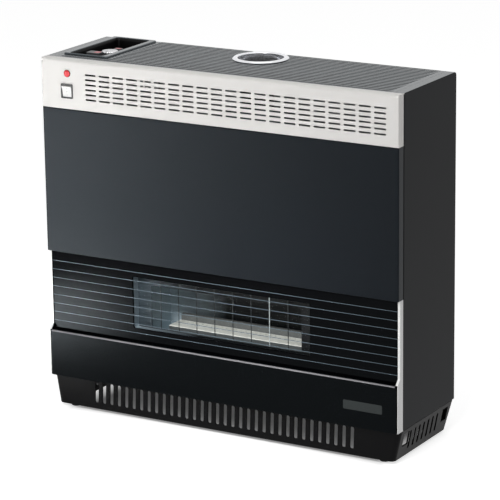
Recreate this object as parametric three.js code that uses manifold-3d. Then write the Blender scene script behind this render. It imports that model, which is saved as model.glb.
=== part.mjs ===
// Flued gas heater that stands on four feet against a wall: a sheet-steel case with a slotted warm-air
// outlet band, a glass front over a steel firebox, a tangential fan below it and a gas valve under a
// recessed control tray. Millimetres, +Z up, the front faces -Y, and the origin lies on the floor under
// the middle of the case.
import * as THREE from 'three';
import { mergeVertices } from 'three/addons/utils/BufferGeometryUtils.js';
import Module from 'manifold-3d';

const wasm = await Module();
wasm.setup();

// ---------------------------------------------------------------- driving dimensions
// case
const width = 700;
const caseDepth = 213; // upper panel's face to the rear face
const sheet = 1.2; // steel sheet of every casing part
const gap = 0.3; // clearance between neighbours
const flange = 17; // folded rim of a side panel
const cornerRadius = 6; // rear top edge of the case
const edgeRadius = 2.5; // upright front edges of the front panels
const panelReach = 20; // how far a front panel's sides fold back
const panelLip = 14.5; // how far its top and bottom fold back
const sideSetback = 26; // front edge of a side panel behind the upper panel's face

// heights of the front, from the bottom
const footHeight = 6;
const plinthHeight = 53.5;
const lowerHeight = 84.5;
const glassHeight = 146.2;
const upperHeight = 261.3;
const bandHeight = 87.5;
const lowerProud = 3; // lower panel in front of the upper one

// outlet band
const bandEdgeRadius = 5;
const bandSlotLength = 22.4;
const bandSlotHeight = 3.2;
const bandPitchX = 28.2;
const bandPitchZ = 8.8;
const bandColumns = 21;
const bandRows = 6;
const bandFirstInset = 101.8; // centre of the first column from the left side
const bandTopRow = 23.6; // centre of the top row below the case top

// switch and lamp on the band
const switchInset = 53; // switch's middle from the left side
const switchWidth = 24;
const switchHeight = 26;
const switchDrop = 55.6; // its centre below the case top
const switchDepth = 22;
const bezel = 2.2; // width of the switch's frame
const bezelProud = 1.5;
const rockerTilt = 10; // degrees either side of upright
const lampInset = 54.2;
const lampDiameter = 13.4;
const lampDrop = 24.4;
const lampDepth = 20;

// glass front
const glassThickness = 4;
const glassSetback = 8.7;
const windowWidth = 355;
const windowBottom = 24; // window above the glass's lower edge
const windowTop = 117.5;
const trimFlange = 4.5;
const trimSetback = 6.9;
const trimReach = 18.3;
const trimLip = 20;
const trimStepRise = 8;

// top grille
const grillePitch = 10.6;
const grilleSlot = 4.4;
const grilleFirst = 25.5; // first slot's centre behind the upper panel's face
const grilleRear = 7; // least margin behind the last slot's centre
const grilleBorder = 9; // plain margin at the slot ends
const openRows = 2; // rows in front of the control tray
const grilleRibs = [-113, 166]; // ribs under the slotted sheet
const grilleRibDepth = 5;

// control tray
const trayWidth = 91;
const trayLeft = 19; // outer rim from the case's left side
const trayFront = 41.5; // behind the upper panel's face
const trayBack = 7; // outer rim in front of the rear face
const trayRimSide = 14;
const trayRimFront = 6;
const trayRimRear = 9;
const trayRise = 2.5; // rim above the top
const trayDeep = 42;
const trayWall = 2;
const wellFlare = 3; // how far the well's upper edge leans out

// gas controls
const knobY = 121; // behind the upper panel's face
const knobDiameter = 33;
const knobHeight = 17;
const knobDrop = 4.5; // knob's top below the case top
const knobFlutes = 16;
const fluteRadius = 1.7;
const knobSkirt = 3; // plain rim below the flutes
const knobDish = 0.8;
const knobCap = 4; // solid top above the spindle
const spindleDiameter = 8;
const spindleSeat = 14; // how deep the spindle stands in the valve
const igniterX = -10; // from the knob's axis
const igniterY = 88;
const igniterSize = [28, 20];
const stopY = 149;
const stopSize = [17, 12];
const igniterDrop = 2; // button's top below the case top
const igniterHeight = 32;
const stopDrop = 6;
const stopHeight = 26;
const stemDiameter = 6;
const valveSize = [52, 56, 58];
const igniterTravel = 6;

// flue
const flueBore = 80;
const collarFlange = 9;
const collarRise = 3.3;
const collarSkirt = 22;
const flueBack = 53; // collar's middle in front of the rear face
const fluePipeDiameter = 74;
const pipeDrop = 16; // flue pipe's top below the case top
const pipeWall = 1.5;

// plinth and feet
const plinthWall = 2.5;
const plinthTaper = 11;
const plinthSetback = 9;
const plinthLean = 3; // its front wall's foot in front of its top
const plinthCorner = 9;
const plinthRim = 24; // floor flange that carries the feet
const plinthSlots = 34;
const plinthPitch = 15.64;
const plinthSlotWidth = 7.4;
const plinthSlotFoot = 10.5; // slot's lower end above the plinth's foot
const plinthSlotHeight = 39;
const sideSlots = 7;
const sideSlotPitch = 16.7;
const sideSlotFirst = 52.5;
const sideSlotWidth = 6.5;
const sideSlotFoot = 11.5;
const sideSlotHeight = 33.5;
const sidePort = [20, 24]; // width and height of the openings beside the slots
const sidePortFoot = 21.5;
const frontPortY = 37;
const rearPortBack = 30.5; // in front of the rear face
const footDiameter = 19;
const footInsetX = 37;
const footInsetY = 24;

// chassis, base pan and rear panel
const chassisY = 27.5; // front of the chassis sheet behind the upper panel's face
const airMargin = 10; // chassis round the warm-air opening behind the outlet slots
const lowAirEnd = 60; // chassis beside the opening behind the lower panel
const lowAirFoot = 12; // chassis below that opening
const lowAirTop = 36; // and above it, up to the glass's lower edge
const panLip = 9; // base pan's upturned rear edge
const mouthSize = [170, 60]; // the base pan's two air openings
const mouthX = 100;
const mouthY = 18; // behind the pan's front edge
const rearDrop = 12; // rear panel's top below the case's rounded rear edge
const rearFold = 10;
const keyX = 250; // keyholes either side of the middle
const keyDrop = 60; // their upper end below the rear panel's top
const keyWidth = 6;
const keyHead = 12;
const gasOpening = [40, 46]; // cut-out for the gas line, width and height
const gasOpeningFoot = 16; // above the rear panel's foot
const cableHeight = 28; // cable hole above the rear panel's foot

// firebox and burner
const openingWidth = 301;
const openingBottom = 18.5; // fire opening above the glass's lower edge
const openingTop = 100.5;
const gasket = 3.4;
const gasketWidth = 10;
const boxWidth = 330;
const boxDepth = 80;
const boxHeight = 124;
const boxFlange = 14;
const burnerEnd = 30; // burner's end inside the firebox's side
const burnerDepth = 40.5;
const burnerHeight = 20;
const burnerSetback = 26; // burner behind the firebox's front
const portCount = 26;
const neckDiameter = 16;
const plaqueHeight = 11;
const plaqueThickness = 8;
const guardWire = 1.6;
const guardCount = 8;
const guardPitch = 36.5;

// heat exchanger and hood
const tubeCount = 5;
const tubeSize = [38, 54];
const tubeHeight = 238;
const plateThickness = 2;
const hoodHeight = 50;
const hoodWall = 1.5;

// fan
const fanBack = 48; // fan's axis in front of the rear face
const fanHeight = 46; // axis above the base pan
const rotorDiameter = 56;
const rotorLength = 380;
const rotorBlades = 14;
const bladeChord = 7;
const fanShaft = 6;
const shaftClearance = 0.4;
const shaftSeat = 16; // how deep the shaft stands in the motor
const scrollRadius = 38;
const scrollSheet = 1.2;
const motorDiameter = 58;
const motorLength = 44;

// gas and electric lines
const burnerPipe = 8;
const pilotPipe = 4;
const probeLead = 3;
const inletPipe = 15;
const leadDiameter = 5;
const inletInset = 42; // gas inlet from the left side
const glandInset = 96;
const glandBore = 12;
const terminalSize = [44, 20, 20];
const terminalBack = 120; // its middle in front of the rear face
const inletRise = 40; // gas inlet's axis above the base pan's underside
const inletBack = 34; // its upright part in front of the rear face
const inletHead = 16; // upright part above that axis
const inletBend = 14;
const riserTop = 60; // inlet pipe starts to lean over this far below the valve
const riserEnd = 30; // and stands upright again this far below it
const lineDrops = [8, 22, 32, 42]; // gas, pilot, probe and spark lines below the firebox's flange
const lineBend = 8;
const gasBend = 12;
const leadBend = 9;
const sparkFirst = 20; // spark lead's first straight run
const sparkLast = 60;
const leadRise = 12; // leads above the base pan

// ---------------------------------------------------------------- derived places
const half = width / 2;
const burnerLength = boxWidth - 2 * burnerEnd;
const bandFirstX = bandFirstInset - half;
const switchX = switchInset - half;
const lampX = lampInset - half;
const front = -(caseDepth + lowerProud) / 2 + lowerProud; // upper panel's face
const rear = front + caseDepth;
const flueY = caseDepth - flueBack; // behind the upper panel's face
const caseBottom = footHeight + plinthHeight;
const lowerTop = caseBottom + lowerHeight;
const upperBottom = lowerTop + glassHeight;
const bandBottom = upperBottom + upperHeight;
const caseTop = bandBottom + bandHeight;
const innerHalf = half - sheet - gap;
const grilleRows = Math.floor((caseDepth - grilleFirst - grilleRear) / grillePitch) + 1;
const rimInner = half - flange - gap; // between the side panels' rims
const chassisFront = front + chassisY;
const chassisBack = chassisFront + sheet;
const chassisReach = front + glassSetback + glassThickness + sheet + 3 * gap;
const topSeat = caseTop - sheet - gap;
const seam = front + flange + gap; // top sheets start here, behind the band's top fold
const trayX0 = -half + trayLeft;
const trayX1 = trayX0 + trayWidth;
const wellX0 = trayX0 + trayRimSide;
const wellX1 = trayX1 - trayRimSide;
const wellY0 = front + trayFront + trayRimFront;
const wellY1 = rear - trayBack - trayRimRear;
const trayFloor = caseTop - trayDeep;
const knobX = (wellX0 + wellX1) / 2;
const valveTop = trayFloor - trayWall - gap;
const fireFront = chassisBack + gasket + 2 * gap;
const fireBack = fireFront + boxDepth;
const fireFloor = lowerTop; // level with the glass's lower edge
const fireTop = fireFloor + boxHeight;
const panBottom = caseBottom + sheet + gap;
const panTop = panBottom + sheet;
const fanZ = panTop + fanHeight;
const fanAxisY = rear - fanBack;
const switchZ = caseTop - switchDrop;
const lampZ = caseTop - lampDrop;
const bodyHalf = [switchWidth / 2 - bezel / 2, switchHeight / 2 - bezel / 2]; // switch body behind its frame

// ---------------------------------------------------------------- making solids
// a geometry with its shared corners merged and its flat triangles dropped, as one closed solid
function solid(geometry) {
  const bare = geometry.clone();
  bare.deleteAttribute('normal');
  bare.deleteAttribute('uv');
  const merged = mergeVertices(bare, 1e-4);
  const position = merged.attributes.position.array;
  const corners = [];
  let volume = 0;
  for (let i = 0; i < merged.index.count; i += 3) {
    const [a, b, c] = [0, 1, 2].map((k) => merged.index.getX(i + k));
    if (a === b || b === c || a === c) continue;
    corners.push([a, b, c]);
    const [p, q, r] = [a, b, c].map((n) => new THREE.Vector3().fromArray(position, 3 * n));
    volume += p.dot(q.cross(r));
  }
  const triVerts = corners.flatMap(([a, b, c]) => (volume < 0 ? [a, c, b] : [a, b, c]));
  const mesh = new wasm.Mesh({
    numProp: 3,
    vertProperties: new Float32Array(position),
    triVerts: new Uint32Array(triVerts),
  });
  return new wasm.Manifold(mesh);
}

const join = (...parts) => parts.reduce((a, b) => a.add(b));
const cut = (base, ...parts) => parts.reduce((a, b) => a.subtract(b), base);

function box(x0, x1, y0, y1, z0, z1) {
  const g = new THREE.BoxGeometry(x1 - x0, y1 - y0, z1 - z0);
  return solid(g.translate((x0 + x1) / 2, (y0 + y1) / 2, (z0 + z1) / 2));
}

// an outline drawn in two axes and drawn out along the third: 'x' takes (y, z), 'y' (x, z), 'z' (x, y)
const drawn = {
  x: [[0, 1, 0], [0, 0, 1], [1, 0, 0]],
  y: [[1, 0, 0], [0, 0, 1], [0, -1, 0]],
  z: [[1, 0, 0], [0, 1, 0], [0, 0, 1]],
};
function prism(axis, outline, from, to, curveSegments = 6) {
  const shapes = outline instanceof THREE.Shape || outline[0] instanceof THREE.Shape
    ? outline
    : new THREE.Shape(outline.map((p) => new THREE.Vector2(...p)));
  const g = new THREE.ExtrudeGeometry(shapes, { depth: to - from, bevelEnabled: false, curveSegments });
  const basis = drawn[axis].map((v) => new THREE.Vector3(...v));
  const start = axis === 'y' ? to : from;
  const place = new THREE.Matrix4().makeBasis(...basis);
  place.setPosition(...['x', 'y', 'z'].map((name) => (name === axis ? start : 0)));
  return solid(g.applyMatrix4(place));
}

// a profile of (radius, height) points turned about an upright axis, then laid along x or y if asked
function turned(profile, [x, y, z], axis = 'z', sides = 24) {
  const g = new THREE.LatheGeometry(profile.map((p) => new THREE.Vector2(...p)), sides);
  if (axis === 'x') g.rotateZ(-Math.PI / 2);
  if (axis === 'z') g.rotateX(Math.PI / 2);
  return solid(g.translate(x, y, z));
}
const rod = (r, from, to) => [[0, from], [r, from], [r, to], [0, to]];
const ring = (r0, r1, from, to) => [[r0, from], [r1, from], [r1, to], [r0, to], [r0, from]];
// turned() about 'y' points the profile's height along +Y
const along = (axis, r, from, to, a, b, sides) => {
  const place = axis === 'x' ? [0, a, b] : axis === 'y' ? [a, 0, b] : [a, b, 0];
  return turned(rod(r, from, to), place, axis, sides);
};

function roundRect(x0, x1, y0, y1, r) {
  const s = new THREE.Shape();
  s.moveTo(x0 + r, y0);
  s.lineTo(x1 - r, y0);
  s.absarc(x1 - r, y0 + r, r, -Math.PI / 2, 0);
  s.lineTo(x1, y1 - r);
  s.absarc(x1 - r, y1 - r, r, 0, Math.PI / 2);
  s.lineTo(x0 + r, y1);
  s.absarc(x0 + r, y1 - r, r, Math.PI / 2, Math.PI);
  s.lineTo(x0, y0 + r);
  s.absarc(x0 + r, y0 + r, r, Math.PI, 1.5 * Math.PI);
  return s;
}

// slot with round ends, its long way along the first or the second axis of the drawing
const endFacets = 2; // flats that make up each round end
function slot(x, y, length, breadth, upright = false) {
  const r = breadth / 2;
  const points = [];
  for (const end of [1, -1]) {
    for (let i = 0; i <= endFacets; i++) {
      const a = (i / endFacets - 0.5) * Math.PI;
      const u = end * (length / 2 - r + Math.cos(a) * r);
      const v = end * Math.sin(a) * r;
      points.push(upright ? new THREE.Vector2(x - v, y + u) : new THREE.Vector2(x + u, y + v));
    }
  }
  return new THREE.Shape(points);
}
const polygon = (points) => new THREE.Shape(points.map((p) => new THREE.Vector2(...p)));
const oblong = (x0, x1, y0, y1) => polygon([[x0, y0], [x1, y0], [x1, y1], [x0, y1]]);

// a closed skin between two outlines with as many points, both lists of (x, y, z)
function loft(lower, upper) {
  const n = lower.length;
  const points = [...lower, ...upper].flat();
  const index = [];
  for (let i = 0; i < n; i++) {
    const j = (i + 1) % n;
    index.push(i, j, n + j, i, n + j, n + i);
  }
  for (const [base, flip] of [[0, true], [n, false]]) {
    const flat = (base ? upper : lower).map((p) => new THREE.Vector2(p[0], p[1]));
    for (const [a, b, c] of THREE.ShapeUtils.triangulateShape(flat, [])) {
      index.push(base + a, base + (flip ? c : b), base + (flip ? b : c));
    }
  }
  const g = new THREE.BufferGeometry();
  g.setAttribute('position', new THREE.Float32BufferAttribute(points, 3));
  g.setIndex(index);
  return solid(g);
}
const outlinePoints = (shape, z, segments = 2) => {
  const points = shape.getPoints(segments);
  if (points[0].distanceTo(points.at(-1)) < 1e-6) points.pop();
  return points.map((p) => [p.x, p.y, z]);
};

// a route of straight runs and rounded corners, whose parameter steps evenly from point to point
class BentRoute extends THREE.Curve {
  constructor(points, bend) {
    super();
    const corners = points.map((p) => new THREE.Vector3(...p));
    this.stops = [corners[0]];
    for (let i = 1; i < corners.length - 1; i++) {
      const start = corners[i].clone().add(corners[i - 1].clone().sub(corners[i]).setLength(bend));
      const end = corners[i].clone().add(corners[i + 1].clone().sub(corners[i]).setLength(bend));
      this.stops.push(...new THREE.QuadraticBezierCurve3(start, corners[i], end).getPoints(3));
    }
    this.stops.push(corners.at(-1));
  }
  getUtoTmapping(u) {
    return u;
  }
  getPoint(t, target = new THREE.Vector3()) {
    const at = t * (this.stops.length - 1);
    const i = Math.min(Math.floor(at), this.stops.length - 2);
    return target.lerpVectors(this.stops[i], this.stops[i + 1], at - i);
  }
}

// a pipe or wire along such a route
function pipe(points, diameter, bend, sides = 8) {
  const route = new BentRoute(points, bend);
  const section = [];
  for (let i = 0; i < sides; i++) {
    const a = (i / sides) * 2 * Math.PI;
    section.push(new THREE.Vector2(Math.cos(a), Math.sin(a)).multiplyScalar(diameter / 2));
  }
  const options = { steps: route.stops.length - 1, extrudePath: route, bevelEnabled: false };
  return solid(new THREE.ExtrudeGeometry(new THREE.Shape(section), options));
}

// ---------------------------------------------------------------- materials
const paint = (color, roughness, metalness = 0) => () =>
  new THREE.MeshStandardMaterial({ color, roughness, metalness });
const black = paint(0x17181b, 0.35);
const satinBlack = paint(0x1d1e21, 0.5);
const silver = paint(0xe4e3e1, 0.38, 0.6);
const chrome = paint(0xd9d9d8, 0.15, 1);
const steel = paint(0x9a9b9c, 0.4, 1);
const zinc = paint(0xa6a8a6, 0.45, 0.9);
const castAlloy = paint(0xb4b4b0, 0.5, 0.9);
const brass = paint(0xb48a3c, 0.35, 1);
const copper = paint(0xb06a45, 0.35, 1);
const plastic = paint(0x101113, 0.55);
const ceramic = paint(0xe6e2d8, 0.85);
const rubber = paint(0x141414, 0.85);

const heater = new THREE.Group();
function add(name, body, material) {
  const { vertProperties, triVerts, numProp } = body.getMesh();
  const points = [];
  for (let i = 0; i < vertProperties.length; i += numProp) points.push(...vertProperties.slice(i, i + 3));
  const g = new THREE.BufferGeometry();
  g.setAttribute('position', new THREE.Float32BufferAttribute(points, 3));
  g.setIndex([...triVerts]);
  const mesh = new THREE.Mesh(g, material());
  mesh.name = name;
  heater.add(mesh);
}

// ---------------------------------------------------------------- case
// side panel: a wall with a rim folded in along its top, rear and bottom, and a tab over the chassis
function sideOutline(inset, frontY, z0 = caseBottom + inset) {
  const s = new THREE.Shape();
  const [y1, z1, r] = [rear - inset, caseTop - inset, cornerRadius - inset];
  s.moveTo(frontY, z0);
  s.lineTo(y1, z0);
  s.lineTo(y1, z1 - r);
  s.absarc(y1 - r, z1 - r, r, 0, Math.PI / 2);
  s.lineTo(frontY, z1);
  return s;
}
function sidePanel(side) {
  const span = (a, b) => (side > 0 ? [a, b] : [-b, -a]);
  const [x0, x1] = span(half - flange, half);
  const [c0, c1] = span(half - flange - 1, half - sheet);
  const edge = front + sideSetback;
  const room = prism('x', sideOutline(sheet, edge - 1), c0, c1);
  const shell = cut(prism('x', sideOutline(0, edge), x0, x1), room);
  const tab = box(...span(half - flange, innerHalf), seam, edge + 1, caseTop - sheet, caseTop);
  return join(shell, tab);
}
add('side_panel_left', sidePanel(-1), satinBlack);
add('side_panel_right', sidePanel(1), satinBlack);

// chassis: the inner front sheet, folded forward at its sides and top to carry the front panels
function chassis() {
  const z0 = panBottom;
  const shell = box(-innerHalf, innerHalf, chassisReach, chassisBack, z0, topSeat);
  const inner = innerHalf - sheet;
  const hollow = box(-inner, inner, chassisReach - 1, chassisFront, z0 - 1, topSeat - sheet);
  const fireX = openingWidth / 2;
  const fire = roundRect(-fireX, fireX, lowerTop + openingBottom, lowerTop + openingTop, 3);
  const airX = rimInner - airMargin;
  const air = roundRect(-airX, airX, bandBottom + airMargin, topSeat - airMargin, 4);
  const lowX = rimInner - lowAirEnd;
  const low = oblong(-lowX, lowX, z0 + lowAirFoot, lowerTop - lowAirTop);
  return cut(shell, hollow, prism('y', [fire, air, low], chassisFront - 1, chassisBack + 1, 3));
}
add('chassis_front', chassis(), zinc);

// base pan: closes the case below, with an upturned rear edge and two air openings
function basePan() {
  const [y0, y1] = [chassisBack + gap, rear - sheet - gap];
  const pan = box(-innerHalf, innerHalf, y0, y1, panBottom, panTop);
  const lip = box(-rimInner + 6, rimInner - 6, y1 - sheet, y1, panBottom, panTop + panLip);
  const [w, d] = mouthSize;
  const at = y0 + mouthY;
  const mouth = [-mouthX, mouthX].map((x) => roundRect(x - w / 2, x + w / 2, at, at + d, 6));
  return cut(join(pan, lip), prism('z', mouth, panBottom - 1, panTop + 1, 3));
}
add('base_pan', basePan(), zinc);

// rear panel: a sheet folded forward at its top, with two keyholes, a gas cut-out and the cable hole
const rearTop = caseTop - cornerRadius - rearDrop;
function rearPanel() {
  const [z0, z1] = [panBottom, rearTop];
  const back = box(-rimInner, rimInner, rear - sheet, rear, z0, z1);
  const fold = box(-rimInner + 4, rimInner - 4, rear - rearFold, rear, z1 - sheet, z1);
  const keys = [-keyX, keyX].map((x) => {
    const k = new THREE.Shape();
    const [z, r, head] = [z1 - keyDrop, keyWidth / 2, keyHead / 2];
    k.moveTo(x - r, z);
    k.lineTo(x - r, z - keyHead);
    k.absarc(x, z - keyHead - 4, head, Math.PI * 0.66, Math.PI * 2.34);
    k.lineTo(x + r, z);
    k.absarc(x, z, r, 0, Math.PI);
    return k;
  });
  const gasX = -half + inletInset;
  const gasZ = z0 + gasOpeningFoot;
  const [w, h] = gasOpening;
  const gas = roundRect(gasX - w / 2, gasX + w / 2, gasZ, gasZ + h, 4);
  const faces = [rear - sheet - 1, rear + 1];
  const cable = along('y', glandBore / 2 + gap, ...faces, -half + glandInset, z0 + cableHeight, 24);
  return cut(join(back, fold), prism('y', [...keys, gas], ...faces, 2), cable);
}
add('rear_panel', rearPanel(), zinc);

// top grille: slotted sheet that rolls over the rear edge, with a seat for the collar and a tray cut-out
function topGrille() {
  const block = prism('x', sideOutline(0, seam, rearTop + gap), -rimInner, rimInner);
  const skin = cut(block, prism('x', sideOutline(sheet, seam - 1), -half, half));
  const bars = [];
  for (let i = 0; i < grilleRows; i++) {
    const y = front + grilleFirst + i * grillePitch;
    const from = i < openRows ? -rimInner + grilleBorder : trayX1 + grilleBorder;
    bars.push(oblong(from, rimInner - grilleBorder, y - grilleSlot / 2, y + grilleSlot / 2));
  }
  const deep = [caseTop - 3 * sheet, caseTop + 1];
  const seat = along('z', flueBore / 2 + collarFlange + 1.5, ...deep, 0, front + flueY, 32);
  const slots = cut(prism('z', bars, ...deep, 1), seat);
  const bore = along('z', flueBore / 2 + 2, ...deep, 0, front + flueY, 32);
  const well = box(wellX0 - 4, wellX1 + 4, wellY0 - 3, wellY1 + 3, ...deep);
  const ribs = grilleRibs.map((x) => {
    const y1 = front + grilleFirst + (grilleRows - 1) * grillePitch;
    const top = caseTop - sheet / 2;
    return box(x - 1, x + 1, chassisBack + gap, y1, top - grilleRibDepth, top);
  });
  return join(cut(skin, slots, bore, well), ...ribs);
}
add('top_grille', topGrille(), black);

// ---------------------------------------------------------------- front
// a front panel: a face with rounded upright edges and folds on all four sides, open at the back
function frontPanel(reachX, face, z0, z1, topRadius, topLip) {
  const edge = new THREE.Shape();
  edge.moveTo(-reachX, front + panelReach);
  edge.lineTo(-reachX, face + edgeRadius);
  edge.absarc(-reachX + edgeRadius, face + edgeRadius, edgeRadius, Math.PI, 1.5 * Math.PI);
  edge.absarc(reachX - edgeRadius, face + edgeRadius, edgeRadius, 1.5 * Math.PI, 2 * Math.PI);
  edge.lineTo(reachX, front + panelReach);
  const side = new THREE.Shape();
  side.moveTo(front + panelReach, z0);
  side.lineTo(face, z0);
  side.lineTo(face, z1 - topRadius);
  side.absarc(face + topRadius, z1 - topRadius, topRadius, Math.PI, Math.PI / 2, true);
  side.lineTo(front + panelReach, z1);
  const blank = prism('z', edge, z0, z1, 2).intersect(prism('x', side, -half, half, 3));
  const inX = reachX - sheet;
  const inside = new THREE.Shape();
  const r = Math.max(topRadius - sheet, 0.2);
  inside.moveTo(front + panelReach + 1, z0 + sheet);
  inside.lineTo(face + sheet, z0 + sheet);
  inside.lineTo(face + sheet, z1 - sheet - r);
  inside.absarc(face + sheet + r, z1 - sheet - r, r, Math.PI, Math.PI / 2, true);
  inside.lineTo(front + panelReach + 1, z1 - sheet);
  const hollow = prism('x', inside, -inX, inX, 2);
  const notch = (z, lip) => box(-inX, inX, front + lip, front + panelReach + 1, z - 2 * sheet, z + 2 * sheet);
  return cut(blank, hollow, notch(z0, panelLip), notch(z1, topLip));
}

function outletBand() {
  const panel = frontPanel(half, front, bandBottom, caseTop, bandEdgeRadius, flange);
  const slots = [];
  for (let i = 0; i < bandColumns; i++) {
    for (let j = 0; j < bandRows; j++) {
      const [x, z] = [bandFirstX + i * bandPitchX, caseTop - bandTopRow - j * bandPitchZ];
      slots.push(slot(x, z, bandSlotLength, bandSlotHeight));
    }
  }
  const [w, h] = bodyHalf.map((d) => d + gap);
  const rocker = roundRect(switchX - w, switchX + w, switchZ - h, switchZ + h, 0.5);
  const faces = [front - 1, front + sheet + 1];
  const lamp = along('y', lampDiameter / 2 - 1 + gap, ...faces, lampX, lampZ, 18); // clears the barrel
  return cut(panel, prism('y', [...slots, rocker], ...faces, 2), lamp);
}
add('outlet_band', outletBand(), silver);
add('upper_panel', frontPanel(half, front, upperBottom, bandBottom - gap, edgeRadius, panelLip), black);

const lowerHalf = innerHalf - sheet - gap;
function lowerPanel() {
  const face = front - lowerProud;
  const panel = frontPanel(lowerHalf, face, caseBottom + gap, lowerTop - gap, edgeRadius, panelLip);
  const trimmed = box(-half, half, front + panelLip, front + panelReach + 1, caseBottom - 1, lowerTop + 1);
  return cut(panel, trimmed);
}
add('lower_panel', lowerPanel(), black);

// glass pane, and behind it the black surround that frames the window and reaches back to the chassis
const paneFront = front + glassSetback;
const paneBack = paneFront + glassThickness;
const paneHalf = innerHalf - sheet - gap;
const pane = roundRect(-paneHalf, paneHalf, lowerTop + gap, upperBottom - gap, 1.5);
add('front_glass', prism('y', pane, paneFront, paneBack, 3), paint(0x0b0d10, 0.05));

function windowSurround() {
  const face = paneBack + gap;
  const plate = box(-paneHalf, paneHalf, face, face + sheet, lowerTop + gap, upperBottom - gap);
  const x = windowWidth / 2;
  const [z0, z1] = [lowerTop + windowBottom, lowerTop + windowTop];
  const frame = (grow) => roundRect(-x - grow, x + grow, z0 - grow, z1 + grow, 3 + grow);
  const sleeve = prism('y', frame(sheet), face, chassisFront - gap, 1);
  return cut(join(plate, sleeve), prism('y', frame(0), face - 1, chassisFront + 1, 1));
}
add('window_surround', windowSurround(), black);

// trim: a bright end strip with a front flange, which steps forward beside the lower panel
function trim(side) {
  const zTop = upperBottom - gap;
  const back = front + trimReach;
  const upperFace = front + trimSetback;
  const lowerFace = front - gap;
  const step = lowerTop + 2;
  const outline = (inset, y1) => [
    [y1, caseBottom + gap], [lowerFace + inset, caseBottom + gap], [lowerFace + inset, step],
    [upperFace + inset, step + trimStepRise], [upperFace + inset, zTop], [y1, zTop],
  ];
  const span = (a, b) => (side > 0 ? [a, b] : [-b, -a]);
  const solidStrip = prism('x', outline(0, back), ...span(half - trimFlange, half));
  const inside = prism('x', outline(sheet, back + 1), ...span(half - trimFlange - 1, half - sheet));
  const beside = box(...span(0, innerHalf), lowerFace - 1, back + 1, caseBottom, lowerTop + gap);
  const lipX = span(half - trimLip, half - sheet / 2);
  const lip = box(...lipX, upperFace, upperFace + sheet, zTop - sheet, zTop);
  return join(cut(solidStrip, inside, beside), lip);
}
add('trim_left', trim(-1), chrome);
add('trim_right', trim(1), chrome);

// ---------------------------------------------------------------- switch and lamp on the band
const pocketHalf = [switchWidth / 2 - bezel, switchHeight / 2 - bezel];
const pocketDepth = 14;
const rockerPivotY = front + 4.6;
const rockerPin = 1.2;
function switchHousing() {
  const [w, h] = [switchWidth / 2, switchHeight / 2];
  const rim = roundRect(switchX - w, switchX + w, switchZ - h, switchZ + h, 1.5);
  const face = prism('y', rim, front - bezelProud, front - gap, 3);
  const block = (bw, bh, y0, y1) => box(switchX - bw, switchX + bw, y0, y1, switchZ - bh, switchZ + bh);
  const [bw, bh] = bodyHalf;
  const body = block(bw, bh, front - gap - 0.5, front + switchDepth);
  const pocket = block(...pocketHalf, front - bezelProud - 1, front + pocketDepth);
  const pin = along('x', rockerPin, switchX - bw + 0.4, switchX + bw - 0.4, rockerPivotY, switchZ, 12);
  return join(cut(join(face, body), pocket), pin);
}
add('switch_housing', switchHousing(), plastic);

// the rocker's face is a shallow V, and its top stands out when it is off
function switchRocker() {
  const lean = THREE.MathUtils.degToRad(rockerTilt);
  const reach = rockerPivotY - (front - bezelProud);
  const w = pocketHalf[0] - gap;
  const h = (pocketHalf[1] - gap - reach * Math.sin(lean)) / Math.cos(lean);
  const local = [[-reach, -h], [-reach + 0.9, 0], [-reach, h], [1, h], [5, 3], [5, -3], [1, -h]];
  const outline = local.map(([y, z]) => [
    rockerPivotY + y * Math.cos(lean) - z * Math.sin(lean),
    switchZ + y * Math.sin(lean) + z * Math.cos(lean),
  ]);
  const body = prism('x', outline, switchX - w, switchX + w);
  return cut(body, along('x', rockerPin + gap, switchX - w - 1, switchX + w + 1, rockerPivotY, switchZ, 12));
}
add('switch_rocker', switchRocker(), paint(0xf2f2f0, 0.35));

// lamp: a flanged body in the band's hole, and a domed lens with a spigot in its recess
const lampR = lampDiameter / 2;
const lampBarrel = lampR - 1;
const lampRecess = lampR - 2.2;
const lampFloor = 1.2; // recess below the band's face
const lampFlange = 1;
const lampBody = [
  [0, lampFloor + 1], [lampRecess, lampFloor + 1], [lampRecess, lampDepth], [lampBarrel, lampDepth],
  [lampBarrel, -gap], [lampR, -gap], [lampR, -lampFlange], [lampRecess, -lampFlange],
  [lampRecess, lampFloor], [0, lampFloor], [0, lampFloor + 1],
];
add('lamp_body', turned(lampBody, [lampX, front, lampZ], 'y', 14), plastic);
const spigot = lampRecess - gap;
const lens = [[0, lampFloor - gap], [spigot, lampFloor - gap], [spigot, -lampFlange - gap],
  [lampR - 0.5, -lampFlange - gap], [lampR - 0.8, -2], [lampR - 2.5, -2.7], [0, -lowerProud]];
add('lamp_lens', turned(lens, [lampX, front, lampZ], 'y', 18), paint(0xd8202a, 0.2));

// ---------------------------------------------------------------- control tray and gas controls
function controlTray() {
  const [y0, y1] = [front + trayFront, rear - trayBack];
  const rimFoot = caseTop + gap;
  const rim = (d, z) => outlinePoints(roundRect(trayX0 + d, trayX1 - d, y0 + d, y1 - d, 5), z);
  const well = (d, r) => roundRect(wellX0 - d, wellX1 + d, wellY0 - d, wellY1 + d, r);
  const cup = prism('z', well(trayWall, 6), trayFloor - trayWall, rimFoot + 0.5, 2);
  const flareFoot = caseTop - wellFlare;
  const room = prism('z', well(0, 4), trayFloor, flareFoot, 2);
  const flare = loft(outlinePoints(well(0, 4), flareFoot - 0.01),
    outlinePoints(well(wellFlare, 6), rimFoot + trayRise + 0.4));
  const hole = (x, y, r) => along('z', r, trayFloor - trayWall - 1, trayFloor + 1, x, y, 16);
  const holes = [
    hole(knobX, front + knobY, spindleDiameter / 2 + gap),
    hole(knobX + igniterX, front + igniterY, stemDiameter / 2 + gap),
    hole(knobX, front + stopY, stemDiameter / 2 + gap),
  ];
  return cut(join(loft(rim(0, rimFoot), rim(1.5, rimFoot + trayRise)), cup), room, flare, ...holes);
}
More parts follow.
